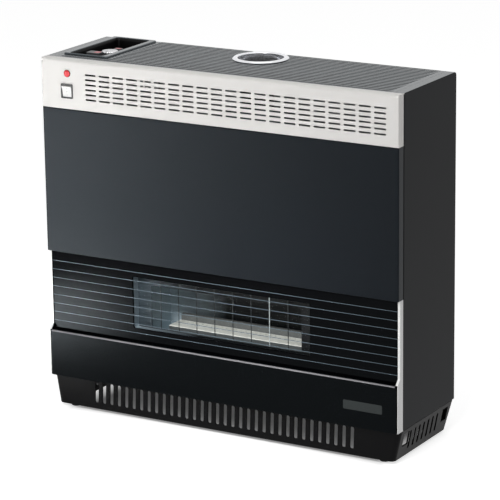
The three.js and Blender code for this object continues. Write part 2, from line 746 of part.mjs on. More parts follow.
add('control_tray', controlTray(), paint(0x1b1c1e, 0.4));

// fluted knob: a round cap over a skirt with flutes cut into its side
function gasKnob() {
  const r = knobDiameter / 2;
  const top = caseTop - knobDrop;
  const z0 = top - knobHeight;
  const profile = [
    [0, z0], [r - 1, z0], [r, z0 + 1], [r, z0 + knobSkirt], [r - 1.2, top - 2], [r - 3, top],
    [5, top], [4, top - knobDish], [0, top - knobDish],
  ];
  const y = front + knobY;
  const cap = turned(profile, [knobX, y, 0], 'z', 32);
  const flutes = [];
  const fluteReach = r + 0.4 * fluteRadius;
  for (let i = 0; i < knobFlutes; i++) {
    const a = (i / knobFlutes) * 2 * Math.PI;
    const at = [knobX + fluteReach * Math.cos(a), y + fluteReach * Math.sin(a)];
    flutes.push(along('z', fluteRadius, z0 + knobSkirt, top + 1, ...at, 5));
  }
  const pointer = box(knobX - 0.8, knobX + 0.8, y - r - 1, y - 6, top - knobDish, top + 1);
  const socket = along('z', spindleDiameter / 2 + gap, z0 - 1, top - knobCap, knobX, y, 16);
  return cut(cap, ...flutes, pointer, socket);
}
add('gas_knob', gasKnob(), silver);
const spindleTop = caseTop - knobDrop - knobCap - gap;
const spindleFoot = valveTop - spindleSeat;
const spindle = along('z', spindleDiameter / 2, spindleFoot, spindleTop, knobX, front + knobY, 16);
add('valve_spindle', spindle, brass);

// push button: a cap on a stem that passes the tray's floor
function button(x, y, [w, d], top, capHeight, foot) {
  const outline = (draft, z) => {
    const [rx, ry] = [w / 2 - draft, d / 2 - draft];
    return outlinePoints(roundRect(x - rx, x + rx, y - ry, y + ry, 2), z, 1);
  };
  const cap = loft(outline(0, top - capHeight), outline(1, top));
  return join(cap, along('z', stemDiameter / 2, foot, top - capHeight + 1, x, y, 12));
}
const igniterAt = [knobX + igniterX, front + igniterY];
const stopAt = [knobX, front + stopY];
const stemRoom = 12; // how deep a stem hangs in its body below the tray
const stemFoot = valveTop - stemRoom;
const igniterCap = button(...igniterAt, igniterSize, caseTop - igniterDrop, igniterHeight, stemFoot);
add('igniter_button', igniterCap, plastic);
add('stop_button', button(...stopAt, stopSize, caseTop - stopDrop, stopHeight, stemFoot), plastic);

// piezo igniter: a threaded barrel that hangs under the tray, open above for the button's stem
const igniterDepth = stemRoom + igniterTravel + 2;
const stemBore = stemDiameter / 2 + gap;
const barrelLength = 46;
const barrel = [
  [0, -igniterDepth], [stemBore, -igniterDepth], [stemBore, 0], [12, 0], [12, -3], [9, -3],
  [9, 12 - barrelLength], [4, 8 - barrelLength], [4, -barrelLength], [0, -barrelLength], [0, -igniterDepth],
];
add('piezo_igniter', turned(barrel, [...igniterAt, valveTop], 'z', 14), plastic);

// gas valve: a cast block with the spindle's boss, an inlet and an outlet boss below, and lead sockets
const valveX = knobX;
const valveY = front + knobY + 12;
const [valveW, valveD, valveH] = valveSize;
const valveFoot = valveTop - valveH;
const bossDrop = 10;
const inletAt = [valveX - valveW / 2 + 13, valveY + valveD / 2 - 15];
const outletAt = [valveX + valveW / 2 - 12, valveY - valveD / 2 + 14];
const pilotAt = [valveX + 4, valveY - valveD / 2 + 6];
const probeAt = [valveX - 10, valveY - valveD / 2 + 6];
function gasValve() {
  const [x0, y0] = [valveX - valveW / 2, valveY - valveD / 2];
  const [x1, y1] = [x0 + valveW, y0 + valveD];
  const block = prism('z', roundRect(x0, x1, y0, y1, 5), valveFoot, valveTop, 3);
  const boss = (at, r) => along('z', r, valveFoot - bossDrop, valveFoot + 1, ...at, 8);
  const waist = box(x0 + 8, x1 - 8, y0 - 1, y0 + 3, valveFoot + 12, valveTop - 12);
  const bore = (at, r, deep) => along('z', r, valveTop - deep, valveTop + 1, ...at, 16);
  return cut(
    join(block, boss(inletAt, 11), boss(outletAt, 8), boss(pilotAt, 4), boss(probeAt, 4)),
    waist,
    bore([knobX, front + knobY], spindleDiameter / 2 + gap, spindleSeat + gap),
    bore(stopAt, stemBore, stemRoom + igniterTravel),
  );
}
add('gas_valve', gasValve(), castAlloy);

// ---------------------------------------------------------------- flue
const flueAt = [0, front + flueY];
const boreR = flueBore / 2;
const rimR = boreR + collarFlange;
const collar = [
  [boreR, -collarSkirt], [boreR + sheet, -collarSkirt], [boreR + sheet, gap], [rimR, gap], [rimR, 1.2],
  [rimR - 1, 2.4], [rimR - 3.5, collarRise], [boreR + 2, collarRise], [boreR, 1.8], [boreR, -collarSkirt],
];
add('flue_collar', turned(collar, [...flueAt, caseTop], 'z', 32), chrome);

// hood: gathers the exchanger's outlet to the round flue pipe
const exchangerTop = fireTop + 3 * gap + tubeHeight;
const hoodFoot = exchangerTop + gap;
const hoodTop = hoodFoot + hoodHeight;
const exchangerHalf = boxWidth / 2 - 8;
const exchangerY = [fireFront + 8, fireBack - 8];
const pipeR = fluePipeDiameter / 2;
const hoodSides = 20;
const squareness = 6; // of the hood's lower outline
function hoodShell(inset) {
  const [hx, hy] = [exchangerHalf - inset, (exchangerY[1] - exchangerY[0]) / 2 - inset];
  const middle = (exchangerY[0] + exchangerY[1]) / 2;
  const lower = [];
  const upper = [];
  for (let i = 0; i < hoodSides; i++) {
    const a = (i / hoodSides) * 2 * Math.PI;
    const [c, s] = [Math.cos(a), Math.sin(a)];
    const k = (Math.abs(c) ** squareness + Math.abs(s) ** squareness) ** (-1 / squareness);
    lower.push([hx * c * k, middle + hy * s * k, hoodFoot + (inset ? -1 : 0)]);
    upper.push([(pipeR - inset) * c, flueAt[1] + (pipeR - inset) * s, hoodTop + (inset ? 1 : 0)]);
  }
  return loft(lower, upper);
}
add('flue_hood', cut(hoodShell(0), hoodShell(hoodWall)), steel);
const fluePipe = ring(pipeR - pipeWall, pipeR, hoodTop + gap, caseTop - pipeDrop);
add('flue_pipe', turned(fluePipe, [...flueAt, 0], 'z', 20), steel);

// ---------------------------------------------------------------- firebox
const boxHalf = boxWidth / 2;
const burnerFront = fireFront + burnerSetback;
const burnerBack = burnerFront + burnerDepth;
const burnerFoot = fireFloor + sheet + gap;
const burnerTop = burnerFoot + burnerHeight;
const neckAt = [burnerBack - neckDiameter / 2, burnerFoot + burnerHeight / 2];
const pilotX = burnerLength / 2 + 16;
const pilotY = burnerFront - 2;
const pilotGap = 10; // between the three pilot parts
const nibRadius = 3; // their feet, which pass the bracket
const tubePitch = (2 * exchangerHalf - 20) / tubeCount;
const tubeX = (i) => (i - (tubeCount - 1) / 2) * tubePitch;
const tubeY = (exchangerY[0] + exchangerY[1]) / 2;
const passage = (i, inset) => oblong(
  tubeX(i) - tubeSize[0] / 2 + inset, tubeX(i) + tubeSize[0] / 2 - inset,
  tubeY - tubeSize[1] / 2 + inset, tubeY + tubeSize[1] / 2 - inset);
const tubes = Array.from({ length: tubeCount }, (_, i) => i);

function firebox() {
  const shell = box(-boxHalf, boxHalf, fireFront, fireBack, fireFloor, fireTop);
  const mouth = prism('y', roundRect(-boxHalf - boxFlange, boxHalf + boxFlange, fireFloor - boxFlange,
    fireTop + boxFlange, 4), fireFront, fireFront + sheet, 1);
  const inner = boxHalf - sheet;
  const hollow = box(-inner, inner, fireFront - 1, fireBack - sheet, fireFloor + sheet, fireTop - sheet);
  const uptakes = prism('z', tubes.map((i) => passage(i, 1)), fireTop - sheet - 1, fireTop + 1, 1);
  const neck = along('x', neckDiameter / 2 + gap, boxHalf - sheet - 1, boxHalf + 1, ...neckAt, 20);
  const pass = [0, 1, 2].map((i) =>
    along('z', nibRadius + 1 + gap, fireFloor - 1, fireFloor + sheet + 1, pilotX, pilotY + i * pilotGap, 12));
  return cut(join(shell, mouth), hollow, uptakes, neck, ...pass);
}
add('firebox', firebox(), steel);

const gasketY = chassisBack + gap;
const gasketRing = (grow) =>
  roundRect(-boxHalf - grow, boxHalf + grow, fireFloor - grow, fireTop + grow, 4 + grow);
add('firebox_gasket', cut(prism('y', gasketRing(gasketWidth + 1), gasketY, gasketY + gasket, 1),
  prism('y', gasketRing(1), gasketY - 1, gasketY + gasket + 1, 1)), ceramic);

// heat exchanger: upright flat tubes between two plates
function exchanger() {
  const [z0, z1] = [fireTop + gap, exchangerTop];
  const plate = (z) => box(-exchangerHalf, exchangerHalf, ...exchangerY, z, z + plateThickness);
  const outside = prism('z', tubes.map((i) => passage(i, 0)), z0, z1, 1);
  const inside = prism('z', tubes.map((i) => passage(i, hoodWall)), z0 - 1, z1 + 1, 1);
  return cut(join(plate(z0), plate(z1 - plateThickness), outside), inside);
}
add('heat_exchanger', exchanger(), steel);

// burner: a flat bar with a row of flame slots in its top and a round neck for the gas
function burner() {
  const barHalf = burnerLength / 2;
  const bar = prism('x', roundRect(burnerFront, burnerBack, burnerFoot, burnerTop, 2), -barHalf, barHalf, 3);
  const neckEnd = boxHalf + 12;
  const neck = along('x', neckDiameter / 2, barHalf - 1, neckEnd, ...neckAt, 20);
  const ports = [];
  for (let i = 0; i < portCount; i++) {
    const x = (i - (portCount - 1) / 2) * (burnerLength - 12) / portCount;
    ports.push(oblong(x - 1, x + 1, burnerBack - 12, burnerBack - 5));
  }
  const jet = along('x', 4, boxHalf, neckEnd + 1, ...neckAt, 12);
  return cut(join(bar, neck), prism('z', ports, burnerTop - 3, burnerTop + 1, 1), jet);
}
add('burner', burner(), paint(0xe2e0da, 0.3, 0.9));

// ceramic strip behind the flames, ribbed on its front
const plaqueFront = burnerBack + gap;
function plaque() {
  const ribs = 24;
  const step = burnerLength / ribs;
  const outline = [[-burnerLength / 2, plaqueFront + plaqueThickness]];
  for (let i = 0; i < ribs; i++) {
    const x = -burnerLength / 2 + i * step;
    outline.push([x, plaqueFront + 1], [x + step / 2, plaqueFront]);
  }
  outline.push([burnerLength / 2, plaqueFront + 1], [burnerLength / 2, plaqueFront + plaqueThickness]);
  return prism('z', outline, burnerFoot, burnerTop + plaqueHeight);
}
add('burner_plaque', plaque(), ceramic);

// injector: a brass elbow whose nozzle enters the burner's neck
const injectorX = boxHalf + 12 + gap;
const elbowX = injectorX + 8;
const injectorFoot = neckAt[1] - 20;
function injector() {
  const body = along('x', 8, injectorX, elbowX + 8, ...neckAt, 16);
  const nozzle = along('x', 3, boxHalf + 4, injectorX + 1, ...neckAt, 12);
  const socket = along('z', 7, injectorFoot, neckAt[1], elbowX, neckAt[0], 16);
  return join(body, nozzle, socket);
}
add('burner_injector', injector(), brass);

// pilot group: a bracket with the pilot burner, the flame probe and the spark electrode
const pilotFloor = fireFloor + sheet + gap;
const pilotPlace = (i) => [pilotX, pilotY + i * pilotGap];
function pilotBracket() {
  const [x0, x1] = [pilotX - 8, boxHalf - sheet - gap];
  const [y0, y1] = [pilotY - 5, pilotY + 2 * pilotGap + 5];
  const foot = box(x0, x1, y0, y1, pilotFloor, pilotFloor + 2);
  const ear = box(x1 - 2, x1, y0, y1, pilotFloor, pilotFloor + 20);
  const hole = (i) => along('z', nibRadius + gap, pilotFloor - 1, pilotFloor + 3, ...pilotPlace(i), 12);
  const holes = [0, 1, 2].map(hole);
  return cut(join(foot, ear), ...holes);
}
add('pilot_bracket', pilotBracket(), steel);
const nibFoot = fireFloor - 8;
const nibSeat = pilotFloor + 2 + gap;
const shouldered = (top, cap) => [
  [0, nibFoot], [nibRadius, nibFoot], [nibRadius, nibSeat], [4.5, nibSeat], [4.5, nibSeat + 5], ...cap(top),
];
const pilotHead = shouldered(nibSeat + 22, (t) => [[3, t - 10], [5, t - 6], [5, t], [0, t]]);
add('pilot_burner', turned(pilotHead, [...pilotPlace(0), 0], 'z', 16), brass);
const probe = shouldered(nibSeat + 32, (t) => [[2.2, nibSeat + 9], [2.2, t - 2], [0, t]]);
add('flame_probe', turned(probe, [...pilotPlace(1), 0], 'z', 12), copper);
const sparkTip = (t) => [[3, nibSeat + 7], [3, t - 12], [1.1, t - 10], [1.1, t], [0, t]];
const spark = shouldered(nibSeat + 30, sparkTip);
add('spark_electrode', turned(spark, [...pilotPlace(2), 0], 'z', 12), ceramic);

// fire guard: upright wires between two rails, held close behind the window
function fireGuard() {
  const y = front + 22;
  const [z0, z1] = [lowerTop + windowBottom + gap, lowerTop + windowTop - gap];
  const r = guardWire / 2;
  const reach = windowWidth / 2 - 4;
  const rails = [z0 + r, z1 - r].map((z) => along('x', r, -reach, reach, y, z, 6));
  const wires = [];
  for (let i = 0; i < guardCount; i++) {
    const x = (i - (guardCount - 1) / 2) * guardPitch;
    wires.push(along('z', r, z0 + r, z1 - r, x, y, 6));
  }
  return join(...rails, ...wires);
}
add('fire_guard', fireGuard(), steel);

// ---------------------------------------------------------------- fan
const fanHalf = rotorLength / 2;
const endX = fanHalf + 3;
function fanHousing() {
  const arc = new THREE.Shape();
  const [a0, a1] = [-Math.PI * 0.55, Math.PI * 0.62];
  arc.absarc(fanAxisY, fanZ, scrollRadius + scrollSheet, a0, a1);
  arc.absarc(fanAxisY, fanZ, scrollRadius, a1, a0, true);
  const scroll = prism('x', arc, -endX, endX, 6);
  const cheek = (s) => {
    const outline = new THREE.Shape();
    const r = scrollRadius + scrollSheet;
    outline.moveTo(fanAxisY - r, panTop + gap);
    outline.lineTo(fanAxisY + r, panTop + gap);
    outline.lineTo(fanAxisY + r, fanZ);
    outline.absarc(fanAxisY, fanZ, r, 0, Math.PI);
    const x = s * endX;
    const plate = prism('x', outline, x - 1, x + 1, 5);
    return cut(plate, along('x', fanShaft / 2 + 2, x - 2, x + 2, fanAxisY, fanZ, 16));
  };
  const reach = scrollRadius + scrollSheet;
  const foot = box(-endX, endX, fanAxisY - 8, fanAxisY + 8, panTop + gap, fanZ - reach + 1.1);
  return join(scroll, cheek(-1), cheek(1), foot);
}
add('fan_housing', fanHousing(), zinc);

const motorFace = -endX - 1 - gap;
const bearingFace = endX + 1 + gap;
function fanRotor() {
  const r = rotorDiameter / 2;
  const disc = (x) => along('x', r, x - 0.75, x + 0.75, fanAxisY, fanZ, 14);
  const blades = [];
  for (let i = 0; i < rotorBlades; i++) {
    const g = new THREE.BoxGeometry(rotorLength - 4, bladeChord, 0.8);
    g.rotateX(0.55);
    g.translate(0, r - bladeChord / 2 - 0.4, 0);
    g.rotateX((i / rotorBlades) * 2 * Math.PI);
    blades.push(solid(g.translate(0, fanAxisY, fanZ)));
  }
  const shaft = along('x', fanShaft / 2, motorFace - shaftSeat, bearingFace + 7, fanAxisY, fanZ, 16);
  const edge = fanHalf - 2;
  return join(disc(-edge), disc(0), disc(edge), shaft, ...blades);
}
add('fan_rotor', fanRotor(), zinc);

function fanMotor() {
  const r = motorDiameter / 2;
  const bore = fanShaft / 2 + shaftClearance;
  const can = [
    [bore, 0], [r - 4, 0], [r, -4], [r, 6 - motorLength], [r - 8, -motorLength], [0, -motorLength],
    [0, -shaftSeat - 4], [bore, -shaftSeat - 4], [bore, 0],
  ];
  const body = turned(can, [motorFace, fanAxisY, fanZ], 'x', 18);
  const foot = box(motorFace - 32, motorFace - 12, fanAxisY - 22, fanAxisY + 22, panTop + gap, fanZ - r + 6);
  return join(body, foot);
}
add('fan_motor', fanMotor(), steel);
const bearing = ring(fanShaft / 2 + shaftClearance, 10, 0, 8);
add('fan_bearing', turned(bearing, [bearingFace, fanAxisY, fanZ], 'x', 20), brass);

// ---------------------------------------------------------------- plinth and feet
const plinthTop = caseBottom - gap;
function plinthShell(inset, z0, z1) {
  const share = (z) => (plinthTop - z) / (plinthTop - footHeight);
  const at = (z) => {
    const t = share(z);
    const x = half - gap - plinthTaper * t - inset;
    const y0 = front + plinthSetback - plinthLean * t + inset;
    const y1 = rear - plinthTaper * t - inset;
    return outlinePoints(roundRect(-x, x, y0, y1, plinthCorner - Math.min(inset, 2)), z);
  };
  return loft(at(z0), at(z1));
}
function plinth() {
  const outer = plinthShell(0, footHeight, plinthTop);
  const room = plinthShell(plinthWall, footHeight + plinthWall, plinthTop + 1);
  const drain = plinthShell(plinthRim, footHeight - 1, footHeight + plinthWall + 1);
  const slots = [];
  for (let i = 0; i < plinthSlots; i++) {
    const x = (i - (plinthSlots - 1) / 2) * plinthPitch;
    const z = footHeight + plinthSlotFoot + plinthSlotHeight / 2;
    slots.push(slot(x, z, plinthSlotHeight, plinthSlotWidth, true));
  }
  const y = front + plinthSetback;
  const frontCut = prism('y', slots, y - 8, y + 8, 2);
  const side = [];
  for (let i = 0; i < sideSlots; i++) {
    const at = front + sideSlotFirst + i * sideSlotPitch;
    side.push(slot(at, footHeight + sideSlotFoot + sideSlotHeight / 2, sideSlotHeight, sideSlotWidth, true));
  }
  for (const at of [frontPortY, caseDepth - rearPortBack]) {
    const [w, h] = sidePort;
    const z0 = footHeight + sidePortFoot;
    side.push(roundRect(front + at - w / 2, front + at + w / 2, z0, z0 + h, 1));
  }
  const depth = plinthTaper + 8;
  return cut(outer, room, drain, frontCut, prism('x', side, half - depth, half + 1, 2),
    prism('x', side, -half - 1, -half + depth, 2));
}
add('plinth', plinth(), plastic);

function foot(x, y) {
  const r = footDiameter / 2;
  const [z0, z1] = [0, footHeight - gap];
  return turned([[0, z0], [r - 1, z0], [r, z0 + 1], [r - 0.6, z1], [0, z1]], [x, y, 0], 'z', 14);
}
const footX = half - footInsetX;
add('foot_front_left', foot(-footX, front + footInsetY), rubber);
add('foot_front_right', foot(footX, front + footInsetY), rubber);
add('foot_rear_left', foot(-footX, rear - footInsetY), rubber);
add('foot_rear_right', foot(footX, rear - footInsetY), rubber);

// ---------------------------------------------------------------- gas and electric lines
// gas inlet: an elbow on the base pan whose threaded end waits in the rear panel's cut-out
const inletX = -half + inletInset;
const inletZ = panBottom + inletRise;
const inletY = rear - inletBack;
function inletElbow() {
  const stand = along('z', 10, panTop + gap, inletZ + inletHead, inletX, inletY, 16);
  const stub = along('y', 10, inletY, rear - 3, inletX, inletZ, 16);
  const bore = along('y', 6, inletY, rear, inletX, inletZ, 16);
  return cut(join(stand, stub), bore);
}
add('gas_inlet', inletElbow(), brass);
const valvePort = valveFoot - bossDrop - gap;
const inletRoute = [
  [inletX, inletY, inletZ + inletHead + gap], [inletX, inletY, valveFoot - riserTop],
  [...inletAt, valveFoot - riserEnd],
  [...inletAt, valvePort],
];
add('inlet_pipe', pipe(inletRoute, inletPipe, inletBend, 10), steel);

// the lines from the valve run down the left, forward under the firebox and across to the right
const lineZ = (i) => fireFloor - boxFlange - lineDrops[i];
const injectorPort = injectorFoot - gap;
const burnerRoute = [
  [...outletAt, valvePort], [...outletAt, lineZ(0)], [elbowX, neckAt[0], lineZ(0)],
  [elbowX, neckAt[0], injectorPort],
];
add('burner_pipe', pipe(burnerRoute, burnerPipe, gasBend), copper);
const nibPort = nibFoot - gap;
const branch = (from, i) => [
  [...from, valvePort], [...from, lineZ(i + 1)], [...pilotPlace(i), lineZ(i + 1)],
  [...pilotPlace(i), nibPort],
];
add('pilot_pipe', pipe(branch(pilotAt, 0), pilotPipe, lineBend, 6), copper);
add('probe_lead', pipe(branch(probeAt, 1), probeLead, lineBend, 5), copper);
const igniterFoot = valveTop - barrelLength - gap;
const sparkX = igniterAt[0] - 8;
const sparkY = igniterAt[1] - sparkFirst;
const sparkRoute = [
  [...igniterAt, igniterFoot], [...igniterAt, igniterFoot - sparkFirst],
  [sparkX, sparkY, igniterFoot - sparkLast], [sparkX, sparkY, lineZ(3)],
  [...pilotPlace(2), lineZ(3)], [...pilotPlace(2), nibPort],
];
add('spark_lead', pipe(sparkRoute, probeLead, lineBend, 5), rubber);

// terminal block, cable gland and the two inner leads
const terminalX = -half + glandInset - 6;
const terminalY = rear - terminalBack;
const [termW, termD, termH] = terminalSize;
function terminalBlock() {
  const z0 = panTop + gap;
  const [x, y] = [terminalX - termW / 2, terminalY - termD / 2];
  const block = box(x, x + termW, y, y + termD, z0, z0 + termH);
  const well = (i) => along('z', 3.5, z0 + 8, z0 + termH + 1, terminalX + i * 13, terminalY, 10);
  return cut(block, well(-1), well(0), well(1));
}
add('terminal_block', terminalBlock(), paint(0xd8d4c8, 0.6));
const glandR = glandBore / 2;
const cableR = 4;
const glandSeat = -sheet - gap;
const gland = [
  [cableR, -14], [glandR, -14], [glandR, -10], [glandR + 3, -10], [glandR + 3, glandSeat],
  [glandR, glandSeat], [glandR, -0.2], [cableR, -0.2], [cableR, -14],
];
add('cable_gland', turned(gland, [-half + glandInset, rear, panBottom + cableHeight], 'y', 12), plastic);
const leadX = -rimInner + 16;
const leadY = chassisBack + leadRise;
const leadZ = panTop + leadRise;
const switchRoute = [
  [terminalX - 8, terminalY - termD / 2 - gap, leadZ], [terminalX - 8, leadY, leadZ], [leadX, leadY, leadZ],
  [leadX, leadY, switchZ], [switchX, leadY, switchZ], [switchX, front + switchDepth + gap, switchZ],
];
add('switch_lead', pipe(switchRoute, leadDiameter, leadBend, 6), rubber);
const motorEnd = motorFace - motorLength - gap;
const motorLeadX = motorEnd - 14;
const motorLeadY = fanAxisY - 14;
const motorRoute = [
  [motorLeadX, terminalY + termD / 2 + gap, leadZ], [motorLeadX, motorLeadY, leadZ],
  [motorLeadX, motorLeadY, fanZ], [motorEnd, motorLeadY, fanZ],
];
add('motor_lead', pipe(motorRoute, leadDiameter, lineBend, 6), rubber);

export default heater;
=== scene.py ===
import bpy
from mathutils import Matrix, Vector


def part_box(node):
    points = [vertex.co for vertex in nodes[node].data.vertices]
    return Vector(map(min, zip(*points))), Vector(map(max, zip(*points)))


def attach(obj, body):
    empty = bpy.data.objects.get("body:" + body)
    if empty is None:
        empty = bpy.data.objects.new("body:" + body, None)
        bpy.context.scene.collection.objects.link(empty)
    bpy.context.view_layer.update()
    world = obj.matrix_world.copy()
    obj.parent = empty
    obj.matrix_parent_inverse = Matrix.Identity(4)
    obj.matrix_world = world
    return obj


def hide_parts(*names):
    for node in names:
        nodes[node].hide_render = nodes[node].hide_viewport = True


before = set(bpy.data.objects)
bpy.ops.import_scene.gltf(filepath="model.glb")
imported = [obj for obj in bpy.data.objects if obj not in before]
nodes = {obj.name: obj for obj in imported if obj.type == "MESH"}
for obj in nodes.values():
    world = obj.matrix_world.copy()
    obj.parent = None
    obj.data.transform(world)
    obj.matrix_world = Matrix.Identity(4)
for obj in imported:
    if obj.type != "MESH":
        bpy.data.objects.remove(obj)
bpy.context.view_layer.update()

import bmesh
import bpy
import math
from mathutils import Matrix, Vector

scene = bpy.context.scene
scene.view_settings.view_transform = "Standard"
MM = 0.001

# ------------------------------------------------------------------ camera
view_angles = (30.409, 15.487, -0.752)  # azimuth, elevation and roll in degrees
view_place = (2.33822, -3.97432, 1.58678)
azimuth, elevation, roll = (math.radians(a) for a in view_angles)
back = Vector((math.sin(azimuth) * math.cos(elevation), -math.cos(azimuth) * math.cos(elevation),
               math.sin(elevation)))
level = Vector((0, 0, 1)).cross(back).normalized()
upright = back.cross(level)
right = math.cos(roll) * level + math.sin(roll) * upright
up = -math.sin(roll) * level + math.cos(roll) * upright
camera = bpy.data.objects.new("camera", bpy.data.cameras.new("camera"))
scene.collection.objects.link(camera)
camera.data.lens = 197.645
camera.data.sensor_width = 36
camera.data.clip_end = 50
camera.matrix_world = Matrix((right, up, back)).transposed().to_4x4()
camera.location = view_place
scene.camera = camera


# ------------------------------------------------------------------ materials
class Shader:
    """A material's node tree with short ways to add to it."""

    def __init__(self, name):
        self.material = bpy.data.materials.new(name)
        self.material.use_nodes = True
        self.tree = self.material.node_tree
        self.body = self.tree.nodes["Principled BSDF"]
        self.place = self.node("ShaderNodeTexCoord").outputs["Object"]

    def node(self, kind, **values):
        made = self.tree.nodes.new(kind)
        for key, value in values.items():
            setattr(made, key, value)
        return made

    def link(self, a, b):
        self.tree.links.new(a, b)

    def noise(self, scale, stretch=(1, 1, 1), detail=3.0):
        mapping = self.node("ShaderNodeMapping")
        mapping.inputs["Scale"].default_value = stretch
        self.link(self.place, mapping.inputs["Vector"])
        made = self.node("ShaderNodeTexNoise")
        made.inputs["Scale"].default_value = scale
        made.inputs["Detail"].default_value = detail
        self.link(mapping.outputs["Vector"], made.inputs["Vector"])
        return made.outputs["Fac"]

    def ramp(self, factor, low, high, start=0.3, end=0.7):
        made = self.node("ShaderNodeValToRGB")
        made.color_ramp.elements[0].position = start
        made.color_ramp.elements[1].position = end
        made.color_ramp.elements[0].color = (*low, 1)
        made.color_ramp.elements[1].color = (*high, 1)
        self.link(factor, made.inputs["Fac"])
        return made.outputs["Color"]

    def spread(self, factor, low, high, start=0.3, end=0.7):
        made = self.node("ShaderNodeMapRange")
        made.inputs["From Min"].default_value = start
        made.inputs["From Max"].default_value = end
        made.inputs["To Min"].default_value = low
        made.inputs["To Max"].default_value = high
        self.link(factor, made.inputs["Value"])
        return made.outputs["Result"]

    def bump(self, height, depth):
        made = self.node("ShaderNodeBump")
        made.inputs["Distance"].default_value = depth
        self.link(height, made.inputs["Height"])
        self.link(made.outputs["Normal"], self.body.inputs["Normal"])


def linear(colour):
    """A colour of 0 to 255 as the linear light that a shader takes."""
    return [c / 12.92 if c <= 0.04045 else ((c + 0.055) / 1.055) ** 2.4 for c in (v / 255 for v in colour)]


def finish(name, colour, rough, metal=0.0, vary=0.06, grain=900, depth=0.00002, stretch=(1, 1, 1),
           rough_vary=0.05, cloud=6, specular=0.5, alpha=1.0, tint=(1, 1, 1)):
    """A surface whose colour and roughness drift softly and whose grain is a fine relief."""
    s = Shader(name)
    base = linear(colour)
    wide = s.noise(cloud, detail=2)
    low = [c * (1 - vary) for c in base]
    high = [min(c * (1 + vary), 1) for c in base]
    s.link(s.ramp(wide, low, high), s.body.inputs["Base Color"])
    fine = s.noise(grain, stretch)
    s.link(s.spread(fine, max(rough - rough_vary, 0.02), rough + rough_vary), s.body.inputs["Roughness"])
    s.bump(fine, depth)
    s.body.inputs["Metallic"].default_value = metal
    s.body.inputs["Specular IOR Level"].default_value = specular
    s.body.inputs["Specular Tint"].default_value = (*tint, 1)
    s.body.inputs["Alpha"].default_value = alpha
    return s.material


def painted_light_sheet(name, left, right, rough):
    """Sheet behind the window with painted light and shade: its colour goes from the lit left end's to the
    shaded right end's.
    """
    lit_end_x, shaded_end_x, wander = -0.16, -0.03, 0.04
    s = Shader(name)
    split = s.node("ShaderNodeSeparateXYZ")
    s.link(s.place, split.inputs["Vector"])
    drift = s.node("ShaderNodeMath", operation="MULTIPLY_ADD")
    s.link(s.noise(14, detail=2), drift.inputs[0])
    drift.inputs[1].default_value = wander
    s.link(split.outputs["X"], drift.inputs[2])
    along = s.spread(drift.outputs[0], 0, 1, lit_end_x, shaded_end_x)
    s.link(s.ramp(along, linear(left), linear(right), 0, 1), s.body.inputs["Base Color"])
    fine = s.noise(700)
    s.link(s.spread(fine, rough - 0.08, rough + 0.08), s.body.inputs["Roughness"])
    s.bump(fine, 0.00001)
    s.body.inputs["Metallic"].default_value = 0.2
    s.body.inputs["Specular IOR Level"].default_value = 0.25
    return s.material


cool = (0.8, 0.93, 1)  # tint of the gloss on dark paint
side_paint = finish("side_paint", (14, 14, 16), 0.4, grain=1400, depth=0.000012, specular=0.055, tint=cool)
front_paint = finish("front_paint", (12, 15, 20), 0.34, grain=1400, depth=0.00001, specular=0.12, tint=cool)
lower_paint = finish("lower_paint", (2, 3, 4), 0.26, grain=1400, depth=0.000006, specular=0.06, tint=cool)
grille_paint = finish("grille_paint", (17, 18, 20), 0.24, grain=1200, depth=0.000008, specular=0.95,
                      tint=cool)
# painted light and shade: the surround, the inner plate and the firebox are painted light at their left end
# and dark at the right
surround_paint = painted_light_sheet("surround_paint", (150, 165, 174), (18, 20, 22), 0.45)
inner_paint = painted_light_sheet("inner_paint", (62, 72, 78), (16, 18, 20), 0.5)
chamber_steel = painted_light_sheet("chamber_steel", (186, 202, 210), (12, 15, 16), 0.42)
band_metal = finish("band_metal", (233, 231, 228), 0.4, metal=0.06, vary=0.012, grain=90,
                    stretch=(0.25, 60, 60), depth=0.000006, rough_vary=0.08, cloud=3, specular=0.15)
chrome = finish("chrome", (158, 158, 158), 0.2, metal=1.0, vary=0.02, grain=400, depth=0.000004,
                rough_vary=0.04)
# painted highlight for the trims' front faces
trim_painted_highlight = finish("trim_painted_highlight", (238, 238, 236), 0.3, metal=0.1, vary=0.02, grain=400, depth=0.000004,
                   rough_vary=0.04)
collar_steel = finish("collar_steel", (232, 233, 236), 0.16, metal=0.9, vary=0.02, grain=500,
                      depth=0.000004, rough_vary=0.05)
zinc = finish("zinc", (150, 152, 154), 0.45, metal=0.8, vary=0.14, grain=260, depth=0.00001, cloud=45,
              rough_vary=0.12)
heat_steel = finish("heat_steel", (66, 74, 78), 0.5, metal=0.4, vary=0.12, grain=500, depth=0.00002,
                    cloud=18, rough_vary=0.1)
# lit and shaded copies of the burner's steel: the front face's copy is painted shade
burner_steel = finish("burner_steel", (216, 218, 211), 0.34, metal=0.1, vary=0.04, grain=120,
                      stretch=(0.3, 40, 40), depth=0.00001, rough_vary=0.08)
burner_shaded_face = finish("burner_shaded_face", (92, 97, 98), 0.4, metal=0.2, vary=0.12, grain=120,
                     stretch=(0.3, 40, 40), depth=0.00001, rough_vary=0.08)
wire_steel = finish("wire_steel", (44, 48, 50), 0.4, metal=0.5, vary=0.08, grain=900)
pipe_steel = finish("pipe_steel", (150, 150, 150), 0.35, metal=1.0, vary=0.06, grain=700)
motor_steel = finish("motor_steel", (88, 90, 94), 0.4, metal=0.8, vary=0.08, grain=600)
cast_alloy = finish("cast_alloy", (176, 176, 172), 0.5, metal=0.85, vary=0.06, grain=1100, depth=0.00006,
                    rough_vary=0.1)
brass = finish("brass", (196, 158, 84), 0.3, metal=1.0, vary=0.07, grain=900)
copper = finish("copper", (196, 128, 92), 0.3, metal=1.0, vary=0.09, grain=600, cloud=30)
